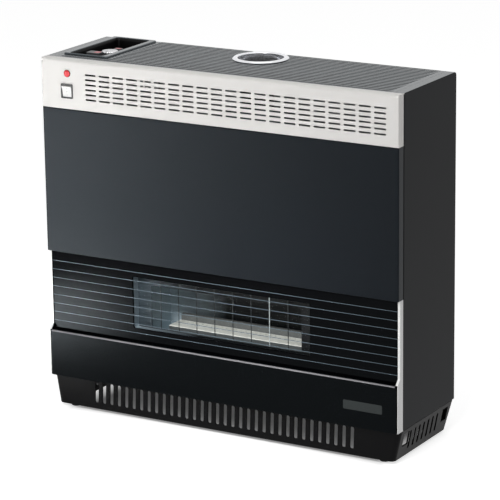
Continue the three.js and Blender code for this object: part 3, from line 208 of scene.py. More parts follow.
knob_silver = finish("knob_silver", (206, 206, 208), 0.25, metal=0.9, vary=0.04, grain=900, depth=0.00001)
tray_paint = finish("tray_paint", (44, 46, 49), 0.2, grain=1100, depth=0.000008, specular=1.0, tint=cool)
# painted shade for the tray's deep well
well_painted_shade = finish("well_painted_shade", (4, 4, 5), 0.4, grain=1100, depth=0.00001, specular=0.15)
near_black_bore = finish("near_black_bore", (9, 9, 10), 0.6, vary=0.2, grain=400, depth=0.00003, specular=0.2)
plastic = finish("black_plastic", (22, 22, 23), 0.42, vary=0.08, grain=1800, depth=0.00003)
plinth_plastic = finish("plinth_plastic", (6, 6, 7), 0.4, vary=0.08, grain=1600, depth=0.00003,
                        specular=0.08)
white_plastic = finish("white_plastic", (244, 244, 242), 0.28, vary=0.015, grain=900, depth=0.00001)
ceramic = finish("ceramic", (88, 91, 90), 0.9, vary=0.08, grain=1500, depth=0.0002, cloud=60)
cream_plastic = finish("cream_plastic", (214, 208, 192), 0.5, vary=0.03, grain=1200)
rubber = finish("rubber", (20, 20, 20), 0.75, vary=0.12, grain=1400, depth=0.00006)
red_lens = finish("red_lens", (204, 26, 38), 0.4, vary=0.1, grain=700, depth=0.00001, cloud=200)
glass_print = finish("glass_print", (3, 3, 4), 0.1, vary=0.1, grain=500, depth=0.000001, rough_vary=0.02,
                     specular=0.045, tint=cool)
clear_glass = finish("clear_glass", (10, 14, 15), 0.05, vary=0.1, grain=500, depth=0.000001,
                     rough_vary=0.02, specular=0.045, alpha=0.06, tint=cool)
line_ink = finish("line_ink", (82, 94, 102), 0.22, vary=0.08, grain=900, depth=0.000002, specular=0.12)
dot_ink = finish("dot_ink", (120, 122, 126), 0.5, vary=0.05)
button_grey = finish("button_grey", (70, 70, 72), 0.35, vary=0.06, grain=1200, depth=0.00002)
button_red = finish("button_red", (196, 96, 100), 0.35, vary=0.06, grain=1200)
badge_foil = finish("badge_foil", (22, 30, 30), 0.25, metal=0.3, vary=0.12, cloud=40, grain=1500,
                    depth=0.000006)
edge_metal = finish("edge_metal", (122, 121, 124), 0.36, metal=0.6, vary=0.03, grain=600, depth=0.000004)
# painted highlight for one guard wire
wire_painted_glint = finish("wire_painted_glint", (196, 206, 208), 0.3, metal=0.8, vary=0.05, grain=900)

dressed = {
    side_paint: ("side_panel_left", "side_panel_right"),
    front_paint: ("upper_panel",),
    lower_paint: ("lower_panel",),
    grille_paint: ("top_grille",),
    surround_paint: ("window_surround",),
    band_metal: ("outlet_band",),
    chrome: ("trim_left", "trim_right"),
    collar_steel: ("flue_collar", "flue_pipe"),
    zinc: ("chassis_front", "base_pan", "rear_panel", "fan_housing", "fan_rotor"),
    heat_steel: ("firebox", "heat_exchanger", "flue_hood", "pilot_bracket"),
    wire_steel: ("fire_guard",),
    burner_steel: ("burner",),
    pipe_steel: ("inlet_pipe",),
    motor_steel: ("fan_motor",),
    cast_alloy: ("gas_valve",),
    brass: ("valve_spindle", "burner_injector", "pilot_burner", "fan_bearing", "gas_inlet"),
    copper: ("burner_pipe", "pilot_pipe", "probe_lead", "flame_probe"),
    knob_silver: ("gas_knob",),
    tray_paint: ("control_tray",),
    plastic: ("switch_housing", "lamp_body", "igniter_button", "stop_button", "piezo_igniter",
              "cable_gland"),
    plinth_plastic: ("plinth",),
    white_plastic: ("switch_rocker",),
    ceramic: ("burner_plaque", "firebox_gasket", "spark_electrode"),
    cream_plastic: ("terminal_block",),
    rubber: ("foot_front_left", "foot_front_right", "foot_rear_left", "foot_rear_right", "switch_lead",
             "motor_lead", "spark_lead"),
    red_lens: ("lamp_lens",),
    glass_print: ("front_glass",),
}
for material, names in dressed.items():
    for name in names:
        nodes[name].data.materials.clear()
        nodes[name].data.materials.append(material)


# ------------------------------------------------------------------ making pieces
def piece(name, mesh, body, material, *stands_for):
    """An object on a body, which may stand for nodes of the frame."""
    mesh.name = name
    made = bpy.data.objects.new(name, mesh)
    scene.collection.objects.link(made)
    mesh.materials.clear()
    mesh.materials.append(material)
    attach(made, body)
    if stands_for:
        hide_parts(*stands_for)
    return made


def soften(mesh, angle=32):
    """Smooth shading between the sharp edges, with flat faces kept flat by weighted normals."""
    mesh.shade_smooth()
    mesh.set_sharp_from_angle(angle=math.radians(angle))
    held = bpy.data.objects.new("held", mesh)
    scene.collection.objects.link(held)
    modifier = held.modifiers.new("weighted", "WEIGHTED_NORMAL")
    modifier.keep_sharp = True
    modifier.weight = 100
    made = bpy.data.meshes.new_from_object(held.evaluated_get(bpy.context.evaluated_depsgraph_get()))
    bpy.data.objects.remove(held)
    return made


def second_finish(made, material, test):
    """Gives a piece a second material on the faces that pass the test."""
    made.data.materials.append(material)
    for face_of in made.data.polygons:
        if test(face_of.center / MM, face_of.normal):
            face_of.material_index = 1


def mesh_of(points, faces):
    """A mesh in metres from points in millimetres."""
    mesh = bpy.data.meshes.new("made")
    mesh.from_pydata([[c * MM for c in p] for p in points], [], faces)
    bm = bmesh.new()
    bm.from_mesh(mesh)
    bmesh.ops.remove_doubles(bm, verts=bm.verts, dist=1e-7)
    bmesh.ops.recalc_face_normals(bm, faces=bm.faces)
    bm.to_mesh(mesh)
    bm.free()
    return mesh


def arc(u, v, r, start, end, steps):
    """Points of a round corner, with its angles in degrees."""
    turns = [math.radians(start + (end - start) * i / steps) for i in range(steps + 1)]
    return [(u + r * math.cos(a), v + r * math.sin(a)) for a in turns]


def oblong(u0, u1, v0, v1, r=0.0, steps=6):
    """A rectangle whose corners are rounded by r."""
    if not r:
        return [(u0, v0), (u1, v0), (u1, v1), (u0, v1)]
    return (arc(u1 - r, v0 + r, r, -90, 0, steps) + arc(u1 - r, v1 - r, r, 0, 90, steps)
            + arc(u0 + r, v1 - r, r, 90, 180, steps) + arc(u0 + r, v0 + r, r, 180, 270, steps))


PLACE = {"x": lambda u, v, w: (w, u, v), "y": lambda u, v, w: (u, w, v), "z": lambda u, v, w: (u, v, w)}


def loft(rings):
    """A closed skin through rings of points, each ring with as many points, capped at both ends."""
    count = len(rings[0])
    points = [p for ring in rings for p in ring]
    faces = [tuple(range(count)), tuple(range(len(points) - count, len(points)))]
    for k in range(len(rings) - 1):
        for i in range(count):
            a, b = k * count + i, k * count + (i + 1) % count
            faces.append((a, b, b + count, a + count))
    return mesh_of(points, faces)


def prism(axis, outline, start, end):
    """An outline drawn out along an axis."""
    return loft([[PLACE[axis](u, v, w) for u, v in outline] for w in (start, end)])


def block(x0, x1, y0, y1, z0, z1):
    """A box between two corners."""
    return prism("z", oblong(x0, x1, y0, y1), z0, z1)


def turned(profile, centre, axis="z", steps=96):
    """A profile of (radius, height) points turned about an axis. A radius of 0 closes it."""
    points, rows = [], []
    for r, h in profile:
        if r == 0:
            rows.append([len(points)] * steps)
            points.append(PLACE[axis](0, 0, h))
        else:
            rows.append(list(range(len(points), len(points) + steps)))
            points += [PLACE[axis](*arc(0, 0, r, 360 * i / steps, 0, 1)[0], h) for i in range(steps)]
    faces = []
    for low, high in zip(rows, rows[1:]):
        for i in range(steps):
            j = (i + 1) % steps
            face = []
            for v in (low[i], low[j], high[j], high[i]):
                if v not in face:
                    face.append(v)
            if len(face) > 2:
                faces.append(face)
    return mesh_of([[p + c for p, c in zip(point, centre)] for point in points], faces)


def rod(axis, r, start, end, u, v, steps=16):
    """A round bar along an axis, at u, v across it."""
    return prism(axis, arc(u, v, r, 0, 360 * (steps - 1) / steps, steps - 1), start, end)


def merged(meshes):
    """Several closed meshes as one."""
    bm = bmesh.new()
    for mesh in meshes:
        bm.from_mesh(mesh)
    made = bpy.data.meshes.new("made")
    bm.to_mesh(made)
    bm.free()
    return made


def combined(mesh, other, operation):
    """The boolean of two closed meshes."""
    held = [bpy.data.objects.new("held", m) for m in (mesh, other)]
    for each in held:
        scene.collection.objects.link(each)
    modifier = held[0].modifiers.new("boolean", "BOOLEAN")
    modifier.operation = operation
    modifier.solver = "EXACT"
    modifier.object = held[1]
    made = bpy.data.meshes.new_from_object(held[0].evaluated_get(bpy.context.evaluated_depsgraph_get()))
    for each in held:
        bpy.data.objects.remove(each)
    return made


def cut(mesh, *tools):
    """The mesh without what the tools fill."""
    for tool in tools:
        mesh = combined(mesh, tool, "DIFFERENCE")
    return mesh


def join(mesh, *others):
    """The mesh with the others made one with it."""
    for other in others:
        mesh = combined(mesh, other, "UNION")
    return mesh


def flared(axis, outline, centre, face, depth, ease):
    """A cutter whose mouth opens by a small round, ease, at the face it enters. depth is signed."""
    sign = 1 if depth > 0 else -1

    def grown(by):
        ring = []
        for u, v in outline:
            du, dv = u - centre[0], v - centre[1]
            size = math.hypot(du, dv)
            ring.append((u + du / size * by, v + dv / size * by))
        return ring
    steps = [(ease, -0.6), (ease, 0), (ease * 0.45, ease * 0.22), (0.12 * ease, ease * 0.6), (0, ease)]
    rings = [(grown(by), face + sign * at) for by, at in steps] + [(outline, face + depth)]
    return loft([[PLACE[axis](u, v, w) for u, v in ring] for ring, w in rings])


def refined(node, material, bevel=0.3, segments=2, body="case"):
    """A copy of a node whose sharp edges are rounded."""
    least_angle = math.radians(35)
    mesh = nodes[node].data.copy()
    bm = bmesh.new()
    bm.from_mesh(mesh)
    bmesh.ops.remove_doubles(bm, verts=bm.verts, dist=1e-6)
    bmesh.ops.dissolve_limit(bm, angle_limit=math.radians(1), verts=bm.verts, edges=bm.edges)
    sharp = [e for e in bm.edges if len(e.link_faces) == 2 and e.calc_face_angle(0) > least_angle]
    bmesh.ops.bevel(bm, geom=sharp, offset=bevel * MM, segments=segments, profile=0.5, affect="EDGES",
                    clamp_overlap=True)
    bm.to_mesh(mesh)
    bm.free()
    return piece(node + "_skin", soften(mesh), body, material, node)


def at(node):
    """A node's lowest and highest corner in millimetres."""
    return [[c / MM for c in corner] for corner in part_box(node)]


# ------------------------------------------------------------------ sizes, from the frame's nodes
(_, face, band_foot), (half, _, case_top) = at("outlet_band")
(_, _, upper_foot), (_, _, upper_top) = at("upper_panel")
(_, proud_face, lower_foot), (lower_half, lower_back, lower_top) = at("lower_panel")
rear = at("rear_panel")[1][1]
rim_inner, side_edge, case_foot = at("side_panel_right")[0]
sheet = 1.2
gap = 0.3
lip = 14.5  # reach of a panel's folds behind the case's face
top_lip = 17  # and of the fold on the case's top
fold_radius, panel_radius = 5, 2.5  # of the bend along the top of the band and of the dark panels
end_radius = 2.5  # of a panel's upright edges
case_corner = 6  # of the case's rear upper edge


# ------------------------------------------------------------------ folded front panels
def folded_panel(reach, front, z0, z1, top_radius, back, upper_lip=lip):
    """A sheet panel with rounded upright edges and folds on all four sides, open at the back."""
    edge = end_radius
    plan = ([(-reach, back)] + arc(-reach + edge, front + edge, edge, 180, 270, 8)
            + arc(reach - edge, front + edge, edge, 270, 360, 8) + [(reach, back)])
    side = ([(back, z0)] + arc(front + 0.6, z0 + 0.6, 0.6, 270, 180, 4)
            + arc(front + top_radius, z1 - top_radius, top_radius, 180, 90, 10) + [(back, z1)])
    blank = combined(prism("z", plan, z0, z1), prism("x", side, -reach - 5, reach + 5), "INTERSECT")
    r = max(top_radius - sheet, 0.3)
    inside = ([(back + 1, z0 + sheet), (front + sheet, z0 + sheet)]
              + arc(front + sheet + r, z1 - sheet - r, r, 180, 90, 6) + [(back + 1, z1 - sheet)])
    inner = reach - sheet
    notches = [block(-inner, inner, face + reach_back, back + 1, z - 2 * sheet, z + 2 * sheet)
               for z, reach_back in ((z0, lip), (z1, upper_lip)) if face + reach_back < back]
    return cut(blank, prism("x", inside, -inner, inner), *notches)


panel_back = at("upper_panel")[1][1]
slot_length, slot_height, pitch_x, pitch_z = 22.4, 3.2, 28.2, 8.8
slot_columns, slot_rows, first_x, top_row = 21, 6, -half + 101.8, 23.6
switch_body, lamp_hole = (10.9, 11.9), 6  # half the housing behind the band, and the lamp's radius there
(switch_x0, _, switch_z0), (switch_x1, _, switch_z1) = at("switch_housing")
switch_x, switch_z = (switch_x0 + switch_x1) / 2, (switch_z0 + switch_z1) / 2
(lamp_x0, _, lamp_z0), (lamp_x1, _, lamp_z1) = at("lamp_lens")
lamp_x, lamp_z = (lamp_x0 + lamp_x1) / 2, (lamp_z0 + lamp_z1) / 2


def outlet_band():
    """The band with its grid of slots and the holes for the switch and the lamp."""
    panel = folded_panel(half, face, band_foot, case_top, fold_radius, panel_back, top_lip)
    cutters = []
    for i in range(slot_columns):
        for j in range(slot_rows):
            x, z = first_x + i * pitch_x, case_top - top_row - j * pitch_z
            u, v = slot_length / 2, slot_height / 2
            hole = oblong(x - u, x + u, z - v, z + v, v - 0.01, 5)
            cutters.append(flared("y", hole, (x, z), face, 3, 0.2))
    w, h = [size + gap for size in switch_body]
    switch_hole = oblong(switch_x - w, switch_x + w, switch_z - h, switch_z + h)
    cutters.append(prism("y", switch_hole, face - 1, face + 2))
    cutters.append(rod("y", lamp_hole, face - 1, face + 2, lamp_x, lamp_z, 32))
    return soften(cut(panel, merged(cutters)))


piece("band", outlet_band(), "case", band_metal, "outlet_band")
upper = folded_panel(half, face, upper_foot, upper_top, panel_radius, panel_back)
piece("upper_front", soften(upper), "case", front_paint, "upper_panel")
lower = folded_panel(lower_half, proud_face, lower_foot, lower_top, panel_radius, lower_back)
piece("lower_front", soften(lower), "case", lower_paint, "lower_panel")
bend = (proud_face + panel_radius, lower_top - panel_radius)
strip = arc(*bend, panel_radius + 0.05, 176, 92, 10) + arc(*bend, panel_radius - 0.2, 92, 176, 10)
strip_half = lower_half - panel_radius
piece("lower_edge", soften(prism("x", strip, -strip_half, strip_half)), "case", edge_metal)


# ------------------------------------------------------------------ side panels and top
def side_profile(inset, front, foot):
    """The case seen from the side, rounded at its rear upper edge."""
    r = case_corner - inset
    return ([(front, foot), (rear - inset, foot)] + arc(rear - inset - r, case_top - inset - r, r, 0, 90, 8)
            + [(front, case_top - inset)])


def side_panel(sign):
    """A side wall with its rims folded in, and the tab on which the top sheet lies."""
    span = (lambda a, b: (a, b)) if sign > 0 else (lambda a, b: (-b, -a))
    ease = 1.6
    turns = [math.radians(a) for a in range(0, 91, 15)]
    steps = [(0, rim_inner)] + [(ease - ease * math.cos(a), half - ease + ease * math.sin(a)) for a in turns]
    rings = [[(sign * x, y, z) for y, z in side_profile(inset, side_edge, case_foot + inset)]
             for inset, x in steps]
    shell = loft(rings)
    hollow = side_profile(sheet, side_edge - 1, case_foot + sheet)
    room = prism("x", hollow, *span(rim_inner - 1, half - sheet))
    tab = block(*span(rim_inner, at("chassis_front")[1][0]), at("top_grille")[0][1], side_edge + 1,
                case_top - sheet, case_top)
    return soften(join(cut(shell, room), tab))


for name, sign in (("left", -1), ("right", 1)):
    made = piece("side_" + name, side_panel(sign), "case", side_paint, "side_panel_" + name)
    # painted light: the upward faces along the top take the glossier grille paint, a lit copy of the same
    # black paint
    second_finish(made, grille_paint, lambda centre, normal: normal.z > 0.9 and centre.z > case_top - 0.5)

collar_x, collar_y = [(a + b) / 2 for a, b in zip(*at("flue_collar"))][:2]
(tray_x0, tray_y0, _), (tray_x1, tray_y1, tray_top) = at("control_tray")
# the tray's well, the slots of the top sheet from the front, its ribs and the collar's seat
well_x0, well_x1, well_y0, well_y1 = tray_x0 + 14, tray_x1 - 14, tray_y0 + 6, tray_y1 - 9
bar_pitch, bar_slot, bar_first, bar_border, bar_rear = 10.6, 4.4, 25.5, 9, 7
bar_count = int((rear - face - bar_first - bar_rear) / bar_pitch) + 1
bars_before_tray = 2
rib_places, rib_half, rib_depth = (-113, 166), 1, 5.6
seat_radius, seat_depth, bore_radius = 50.5, 9, 42
grille_half = at("top_grille")[1][0]


def top_grille():
    """The slotted sheet that rolls over the rear edge."""
    seam = at("top_grille")[0][1]
    foot = at("rear_panel")[1][2] + gap
    skin = cut(prism("x", side_profile(0, seam, foot), -grille_half, grille_half),
               prism("x", side_profile(sheet, seam - 1, foot - 1), -half, half))
    seat = rod("z", seat_radius, case_top - seat_depth, case_top + 4, collar_x, collar_y, 64)
    bars = []
    for i in range(bar_count):
        y = face + bar_first + i * bar_pitch
        x0 = -grille_half + bar_border if i < bars_before_tray else tray_x1 + bar_border
        x1 = grille_half - bar_border
        hole = oblong(x0, x1, y - bar_slot / 2, y + bar_slot / 2, bar_slot / 2 - 0.01, 5)
        rings = [(0.5, 1), (0.5, 0), (0.15, -0.2), (0, -0.5), (0, -4)]
        bars.append(loft([[(u, v + (by if v > y else -by), case_top + w)
                           for u, v in hole] for by, w in rings]))
    slots = cut(merged(bars), seat)
    bore = rod("z", bore_radius, case_top - 4, case_top + 1, collar_x, collar_y, 64)
    well = block(well_x0 - 4, well_x1 + 4, well_y0 - 3, well_y1 + 3, case_top - 4, case_top + 1)
    back = face + bar_first + (bar_count - 1) * bar_pitch
    front = at("chassis_front")[1][1] + gap
    ribs = [block(x - rib_half, x + rib_half, front, back, case_top - rib_depth, case_top - sheet / 2)
            for x in rib_places]
    return soften(join(cut(skin, slots, bore, well), *ribs))


piece("grille", top_grille(), "case", grille_paint, "top_grille")

# ------------------------------------------------------------------ flue
# a spigot below a rolled rim, as radius and height above the case
collar_profile = ([(40, -22), (41.2, -22), (41.2, 0.3)] + arc(48.2, 1.1, 0.8, -90, 0, 4)
                  + arc(45.4, -0.3, 3.6, 24, 90, 8) + arc(42.2, 1.1, 2.2, 90, 180, 8) + [(40, -22)])
collar = turned(collar_profile, (collar_x, collar_y, case_top), steps=128)
piece("collar", soften(collar, 40), "case", collar_steel, "flue_collar")
(_, _, pipe_foot), (_, _, pipe_top) = at("flue_pipe")
pipe_inner, pipe_outer = 35.5, 37
pipe_profile = [(pipe_inner, pipe_foot), (pipe_outer, pipe_foot), (pipe_outer, pipe_top - 0.4),
                (36.6, pipe_top), (35.9, pipe_top), (pipe_inner, pipe_top - 0.4), (pipe_inner, pipe_foot)]
pipe = piece("inner_pipe", soften(turned(pipe_profile, (collar_x, collar_y, 0), steps=128), 40), "case",
             collar_steel, "flue_pipe")
# the pipe's inner wall takes a near-black finish
second_finish(pipe, near_black_bore, lambda centre, normal:
              math.hypot(centre.x - collar_x, centre.y - collar_y) < pipe_inner + 0.1)

# ------------------------------------------------------------------ glass
(pane_x0, pane_front, pane_z0), (pane_x1, pane_back, pane_z1) = at("front_glass")
window_half, window_foot, window_top, window_corner, play = 177.5, 168, 261.5, 3, 0.1
window = oblong(-window_half, window_half, window_foot, window_top, window_corner)
outline = oblong(pane_x0, pane_x1, pane_z0, pane_z1, 1.5, 4)
printed = cut(prism("y", outline, pane_front, pane_back), prism("y", window, pane_front - 1, pane_back + 1))
piece("glass_frame", soften(printed), "case", glass_print, "front_glass")
inset = oblong(play - window_half, window_half - play, window_foot + play, window_top - play, window_corner)
piece("glass_window", soften(prism("y", inset, pane_front, pane_back)), "case", clear_glass)
line_first, line_pitch, line_count, line_width = 270.5, 15.8, 8, 1.05
for i in range(line_count):
    z = line_first - i * line_pitch
    strip = oblong(pane_x0 + 1, pane_x1 - 1, z - line_width / 2, z + line_width / 2, line_width * 0.45, 3)
    line = prism("y", strip, pane_front - 0.12, pane_front + 0.05)
    piece("glass_line_" + str(i + 1), line, "case", line_ink)

# ------------------------------------------------------------------ switch and lamp
refined("switch_housing", plastic, 0.5, 3)
refined("switch_rocker", white_plastic, 0.6, 3, body="rocker")
lean = math.radians(10)
hinge_y = -100.4
for i, along in enumerate((-6, 0, 6)):
    out = 6.05 - (0.9 - 0.15 * abs(along)) * 0.62  # from the hinge to the rocker's hollow face
    y = hinge_y - out * math.cos(lean) - along * math.sin(lean)
    z = switch_z - out * math.sin(lean) + along * math.cos(lean)
    dot = turned([(0, 0.4), (0.55, 0.4), (0.55, -0.05), (0.4, -0.18), (0, -0.2)], (switch_x, y, z), "y", 16)
    piece("rocker_dot_" + str(i + 1), soften(dot), "rocker", dot_ink)

lamp_r = (lamp_x1 - lamp_x0) / 2
dome_height, lens_foot = 0.78, face - 1.2
dome = [(0, lens_foot), (lamp_r, lens_foot)]
for a in range(10, 90, 10):
    dome.append((lamp_r * math.cos(math.radians(a)), lens_foot - dome_height * math.sin(math.radians(a))))
dome.append((0, lens_foot - dome_height - 0.015))
piece("lamp_dome", soften(turned(dome, (lamp_x, 0, lamp_z), "y", 64)), "case", red_lens, "lamp_lens")
flange_r = (at("lamp_body")[1][0] - at("lamp_body")[0][0]) / 2
barrel = 5.7
flange = [(0, 18), (barrel, 18), (barrel, -0.1), (flange_r, -0.1), (flange_r, -0.7), (flange_r - 0.3, -1.1),
          (0, -1.15)]
piece("lamp_base", soften(turned([(r, face + h) for r, h in flange], (lamp_x, 0, lamp_z), "y", 48)), "case",
      plastic, "lamp_body")

# ------------------------------------------------------------------ control tray, knob and buttons
well_floor = 597


def tray():
    """A lipped rim on the top sheet round a deep well, as rings from outside to inside."""
    def rim(d, z):
        plan = oblong(tray_x0 + d, tray_x1 - d, tray_y0 + d, tray_y1 - d, 5 - d * 0.4, 6)
        return [(u, v, z) for u, v in plan]

    def well(d, r, z):
        plan = oblong(well_x0 - d, well_x1 + d, well_y0 - d, well_y1 + d, r, 6)
        return [(u, v, z) for u, v in plan]
    top, foot = tray_top, case_top + gap
    rings = [well(2, 6, well_floor - 2), well(2, 6, foot), rim(0, foot), rim(0, foot + 1.1),
             rim(0.25, top - 0.75), rim(0.8, top - 0.25), rim(1.5, top), well(4.4, 7, top),
             well(3.7, 6.5, top - 0.25), well(3.2, 6, top - 0.9), well(0, 4, case_top - 3),
             well(0, 4, well_floor + 2), well(-0.6, 3.6, well_floor + 0.6), well(-2, 3, well_floor)]
    holes = []
    for node, r in (("valve_spindle", 4.3), ("igniter_button", 3.3), ("stop_button", 3.3)):
        low, high = at(node)
        x, y = (low[0] + high[0]) / 2, (low[1] + high[1]) / 2
        holes.append(rod("z", r, well_floor - 3, well_floor + 1, x, y, 24))
    return soften(cut(loft(rings), merged(holes)), 40)


made = piece("tray", tray(), "case", tray_paint, "control_tray")
# painted shade: the well's faces below the top sheet are painted near black
second_finish(made, well_painted_shade, lambda centre, normal:
              centre.z < case_top - 0.5 and tray_x0 + 1 < centre.x < tray_x1 - 1)

(knob_x0, knob_y0, knob_foot), (knob_x1, knob_y1, knob_top) = at("gas_knob")
knob_x, knob_y, knob_r = (knob_x0 + knob_x1) / 2, (knob_y0 + knob_y1) / 2, (knob_x1 - knob_x0) / 2


def knob():
    """A fluted knob with a notch as its pointer."""
    flutes, steps = 16, 8
    sides = flutes * steps

    def ring(r, z, depth):
        points = []
        for i in range(sides):
            turn = 2 * math.pi * i / sides
            scoop = depth * max(math.cos(turn * flutes), 0) ** 0.8
            points.append((knob_x + (r - scoop) * math.cos(turn), knob_y + (r - scoop) * math.sin(turn), z))
        return points
    foot, top = knob_foot, knob_top
    rings = [ring(r, z, d) for r, z, d in (
        (knob_r - 1, foot, 0), (knob_r - 0.3, foot + 0.3, 0), (knob_r, foot + 1, 0),
        (knob_r, foot + 2.7, 0),
        (knob_r - 0.2, foot + 3.1, 0.4), (knob_r - 0.3, foot + 3.8, 1.1), (knob_r - 1.2, top - 2, 1.1),
        (knob_r - 1.8, top - 0.9, 0.8), (knob_r - 2.8, top - 0.15, 0.3), (knob_r - 3.6, top, 0),
        (6.2, top, 0), (5.6, top - 0.2, 0), (5.2, top - 0.8, 0), (1, top - 0.85, 0))]
    pointer = block(knob_x - 0.8, knob_x + 0.8, knob_y0 - 1, knob_y - 6.5, top - 0.8, top + 1)
    socket = rod("z", 4.3, foot - 1, top - 4, knob_x, knob_y, 32)
    return soften(cut(loft(rings), pointer, socket), 35)


piece("knob_cap", knob(), "knob", knob_silver, "gas_knob")
(ign_x0, ign_y0, _), (ign_x1, ign_y1, ign_top) = at("igniter_button")
(stop_x0, stop_y0, _), (stop_x1, stop_y1, stop_top) = at("stop_button")
refined("igniter_button", button_grey, 0.8, 3, body="igniter")
refined("stop_button", button_grey, 0.8, 3, body="stop")
stripe = oblong((ign_x0 + ign_x1) / 2 + 1, ign_x1 - 2.5, ign_y0 + 4, ign_y1 - 4, 1.2, 4)
piece("igniter_mark", prism("z", stripe, ign_top - 0.3, ign_top + 0.15), "igniter", button_red)
stripe = oblong(stop_x0 + 3, stop_x1 - 3, stop_y0 + 3, stop_y1 - 3, 1, 4)
piece("stop_mark", prism("z", stripe, stop_top - 0.3, stop_top + 0.15), "stop", button_red)

# ------------------------------------------------------------------ trims, badge place, bracket
# painted highlight: the trims' faces that don't face sideways are near white, the sideways ones chrome
for name in ("trim_left", "trim_right"):
    second_finish(refined(name, trim_painted_highlight, 0.35, 3), chrome, lambda centre, normal: abs(normal.x) > 0.8)
badge_size, badge_x, badge_z = (74, 16), 284, 98.5  # a bare plate
badge = oblong(badge_x - badge_size[0] / 2, badge_x + badge_size[0] / 2, badge_z - badge_size[1] / 2,
               badge_z + badge_size[1] / 2, 2, 5)
piece("blank_plate", prism("y", badge, proud_face - 0.06, proud_face + 0.3), "case", badge_foil)
# an upright tab on a web, seen through the fifth column of slots
tab_x0, tab_x1, web_x0, tab_front, web_front, web_back = -141.2, -138.2, -146.6, -103.2, -91.6, -90.5
bracket = join(block(tab_x0, tab_x1, tab_front, web_back, 604, 621),
               block(web_x0, tab_x1, web_front, web_back, 598, 626))
piece("band_bracket", soften(bracket), "case", band_metal)

# ------------------------------------------------------------------ plinth and feet
plinth_foot, plinth_top = at("plinth")[0][2], at("plinth")[1][2]
slot_count, slot_pitch, slot_wide, slot_foot, slot_tall = 34, 15.64, 7.4, 16.5, 39
# the slots and the square ports in the plinth's sides
cheek_slots, cheek_first, cheek_pitch, cheek_half, cheek_foot, cheek_top = 7, 52.5, 16.7, 3.25, 17.5, 51
port_front, port_rear, port_half, port_foot, port_top = 37, 30.5, 10, 27.5, 51.5


def plinth():
    """A hollow skirt that leans in towards its foot."""
    lean, front_lean, set_back, corner = 11, 3, 9, 9

    def ring(inset, z):
        t = (plinth_top - z) / (plinth_top - plinth_foot)
        x, y1 = half - gap - lean * t - inset, rear - lean * t - inset
        y0 = face + set_back - front_lean * t + inset
        return [(u, v, z) for u, v in oblong(-x, x, y0, y1, corner - min(inset, 2), 8)]
    low, wall = plinth_foot, 2.5
    outer = loft([ring(0.5, low), ring(0.12, low + 0.15), ring(0, low + 0.6), ring(0, plinth_top - 0.5),
                  ring(0.15, plinth_top - 0.12), ring(0.5, plinth_top)])
    room = loft([ring(wall, low + wall), ring(wall, plinth_top + 1)])
    drain = loft([ring(24, low - 1), ring(24, low + wall + 1)])
    slots = []
    for i in range(slot_count):
        x = (i - (slot_count - 1) / 2) * slot_pitch
        r = slot_wide / 2
        hole = oblong(x - r, x + r, slot_foot, slot_foot + slot_tall, r - 0.01, 7)
        slots.append(prism("y", hole, face + 1, face + 17))
    sides = []
    for i in range(cheek_slots):
        y, r = face + cheek_first + i * cheek_pitch, cheek_half
        sides.append(oblong(y - r, y + r, cheek_foot, cheek_top, r - 0.01, 7))
    for y in (face + port_front, rear - port_rear):
        sides.append(oblong(y - port_half, y + port_half, port_foot, port_top, 1, 3))
    spans = ((half - 19, half + 1), (-half - 1, 19 - half))
    cheeks = [prism("x", hole, *span) for hole in sides for span in spans]
    return soften(cut(outer, room, drain, merged(slots + cheeks)))


piece("plinth_skirt", plinth(), "case", plinth_plastic, "plinth")
for node in ("foot_front_left", "foot_front_right", "foot_rear_left", "foot_rear_right"):
    (x0, y0, _), (x1, y1, z1) = at(node)
    r = (x1 - x0) / 2
    pad = [(0, 0), (r - 1.2, 0), (r - 0.4, 0.3), (r, 1), (r, 2.2), (r - 0.7, 2.6), (r - 0.7, 3.2), (r, 3.6),
           (r - 0.3, z1), (0, z1)]
    middle = ((x0 + x1) / 2, (y0 + y1) / 2, 0)
    piece(node + "_pad", soften(turned(pad, middle, steps=48)), "case", rubber, node)
head = [(0, 0), (2.6, 0), (2.6, -1.2), (1.8, -2.1), (0, -2.4)]
screw_place = (-(slot_count - 1) / 2 * slot_pitch, -93.2, 51.5)  # in the first slot's upper end
piece("plinth_screw", soften(turned(head, screw_place, "y", 24)), "case", plastic)

# ------------------------------------------------------------------ behind the window
(guard_x0, guard_y0, guard_z0), (guard_x1, guard_y1, guard_z1) = at("fire_guard")
guard_y, wire = (guard_y0 + guard_y1) / 2, 0.8
# painted highlight: the seventh wire takes a bright copy of the wire steel
wire_count, wire_pitch, glint_wire = 8, 36.5, 6
for i in range(wire_count):
    x = (i - (wire_count - 1) / 2) * wire_pitch
    steel = wire_painted_glint if i == glint_wire else wire_steel
    upright = rod("z", wire, guard_z0 + wire, guard_z1 - wire, x, guard_y, 12)
    piece("guard_wire_" + str(i + 1), soften(upright), "case", steel)
rails = [rod("x", wire, guard_x0, guard_x1, guard_y, z, 12) for z in (guard_z0 + wire, guard_z1 - wire)]
piece("guard_rails", soften(merged(rails)), "case", wire_steel, "fire_guard")
# painted shade: the burner's front face takes the darker copy of its steel
second_finish(refined("burner", burner_steel, 1.6, 4), burner_shaded_face,
              lambda centre, normal: normal.y < -0.8 and centre.y < -40)
refined("firebox", chamber_steel, 0.3)
refined("burner_plaque", ceramic, 0.3)
refined("chassis_front", inner_paint, 0.3)
refined("window_surround", surround_paint, 0.3)
refined("rear_panel", zinc, 0.3)
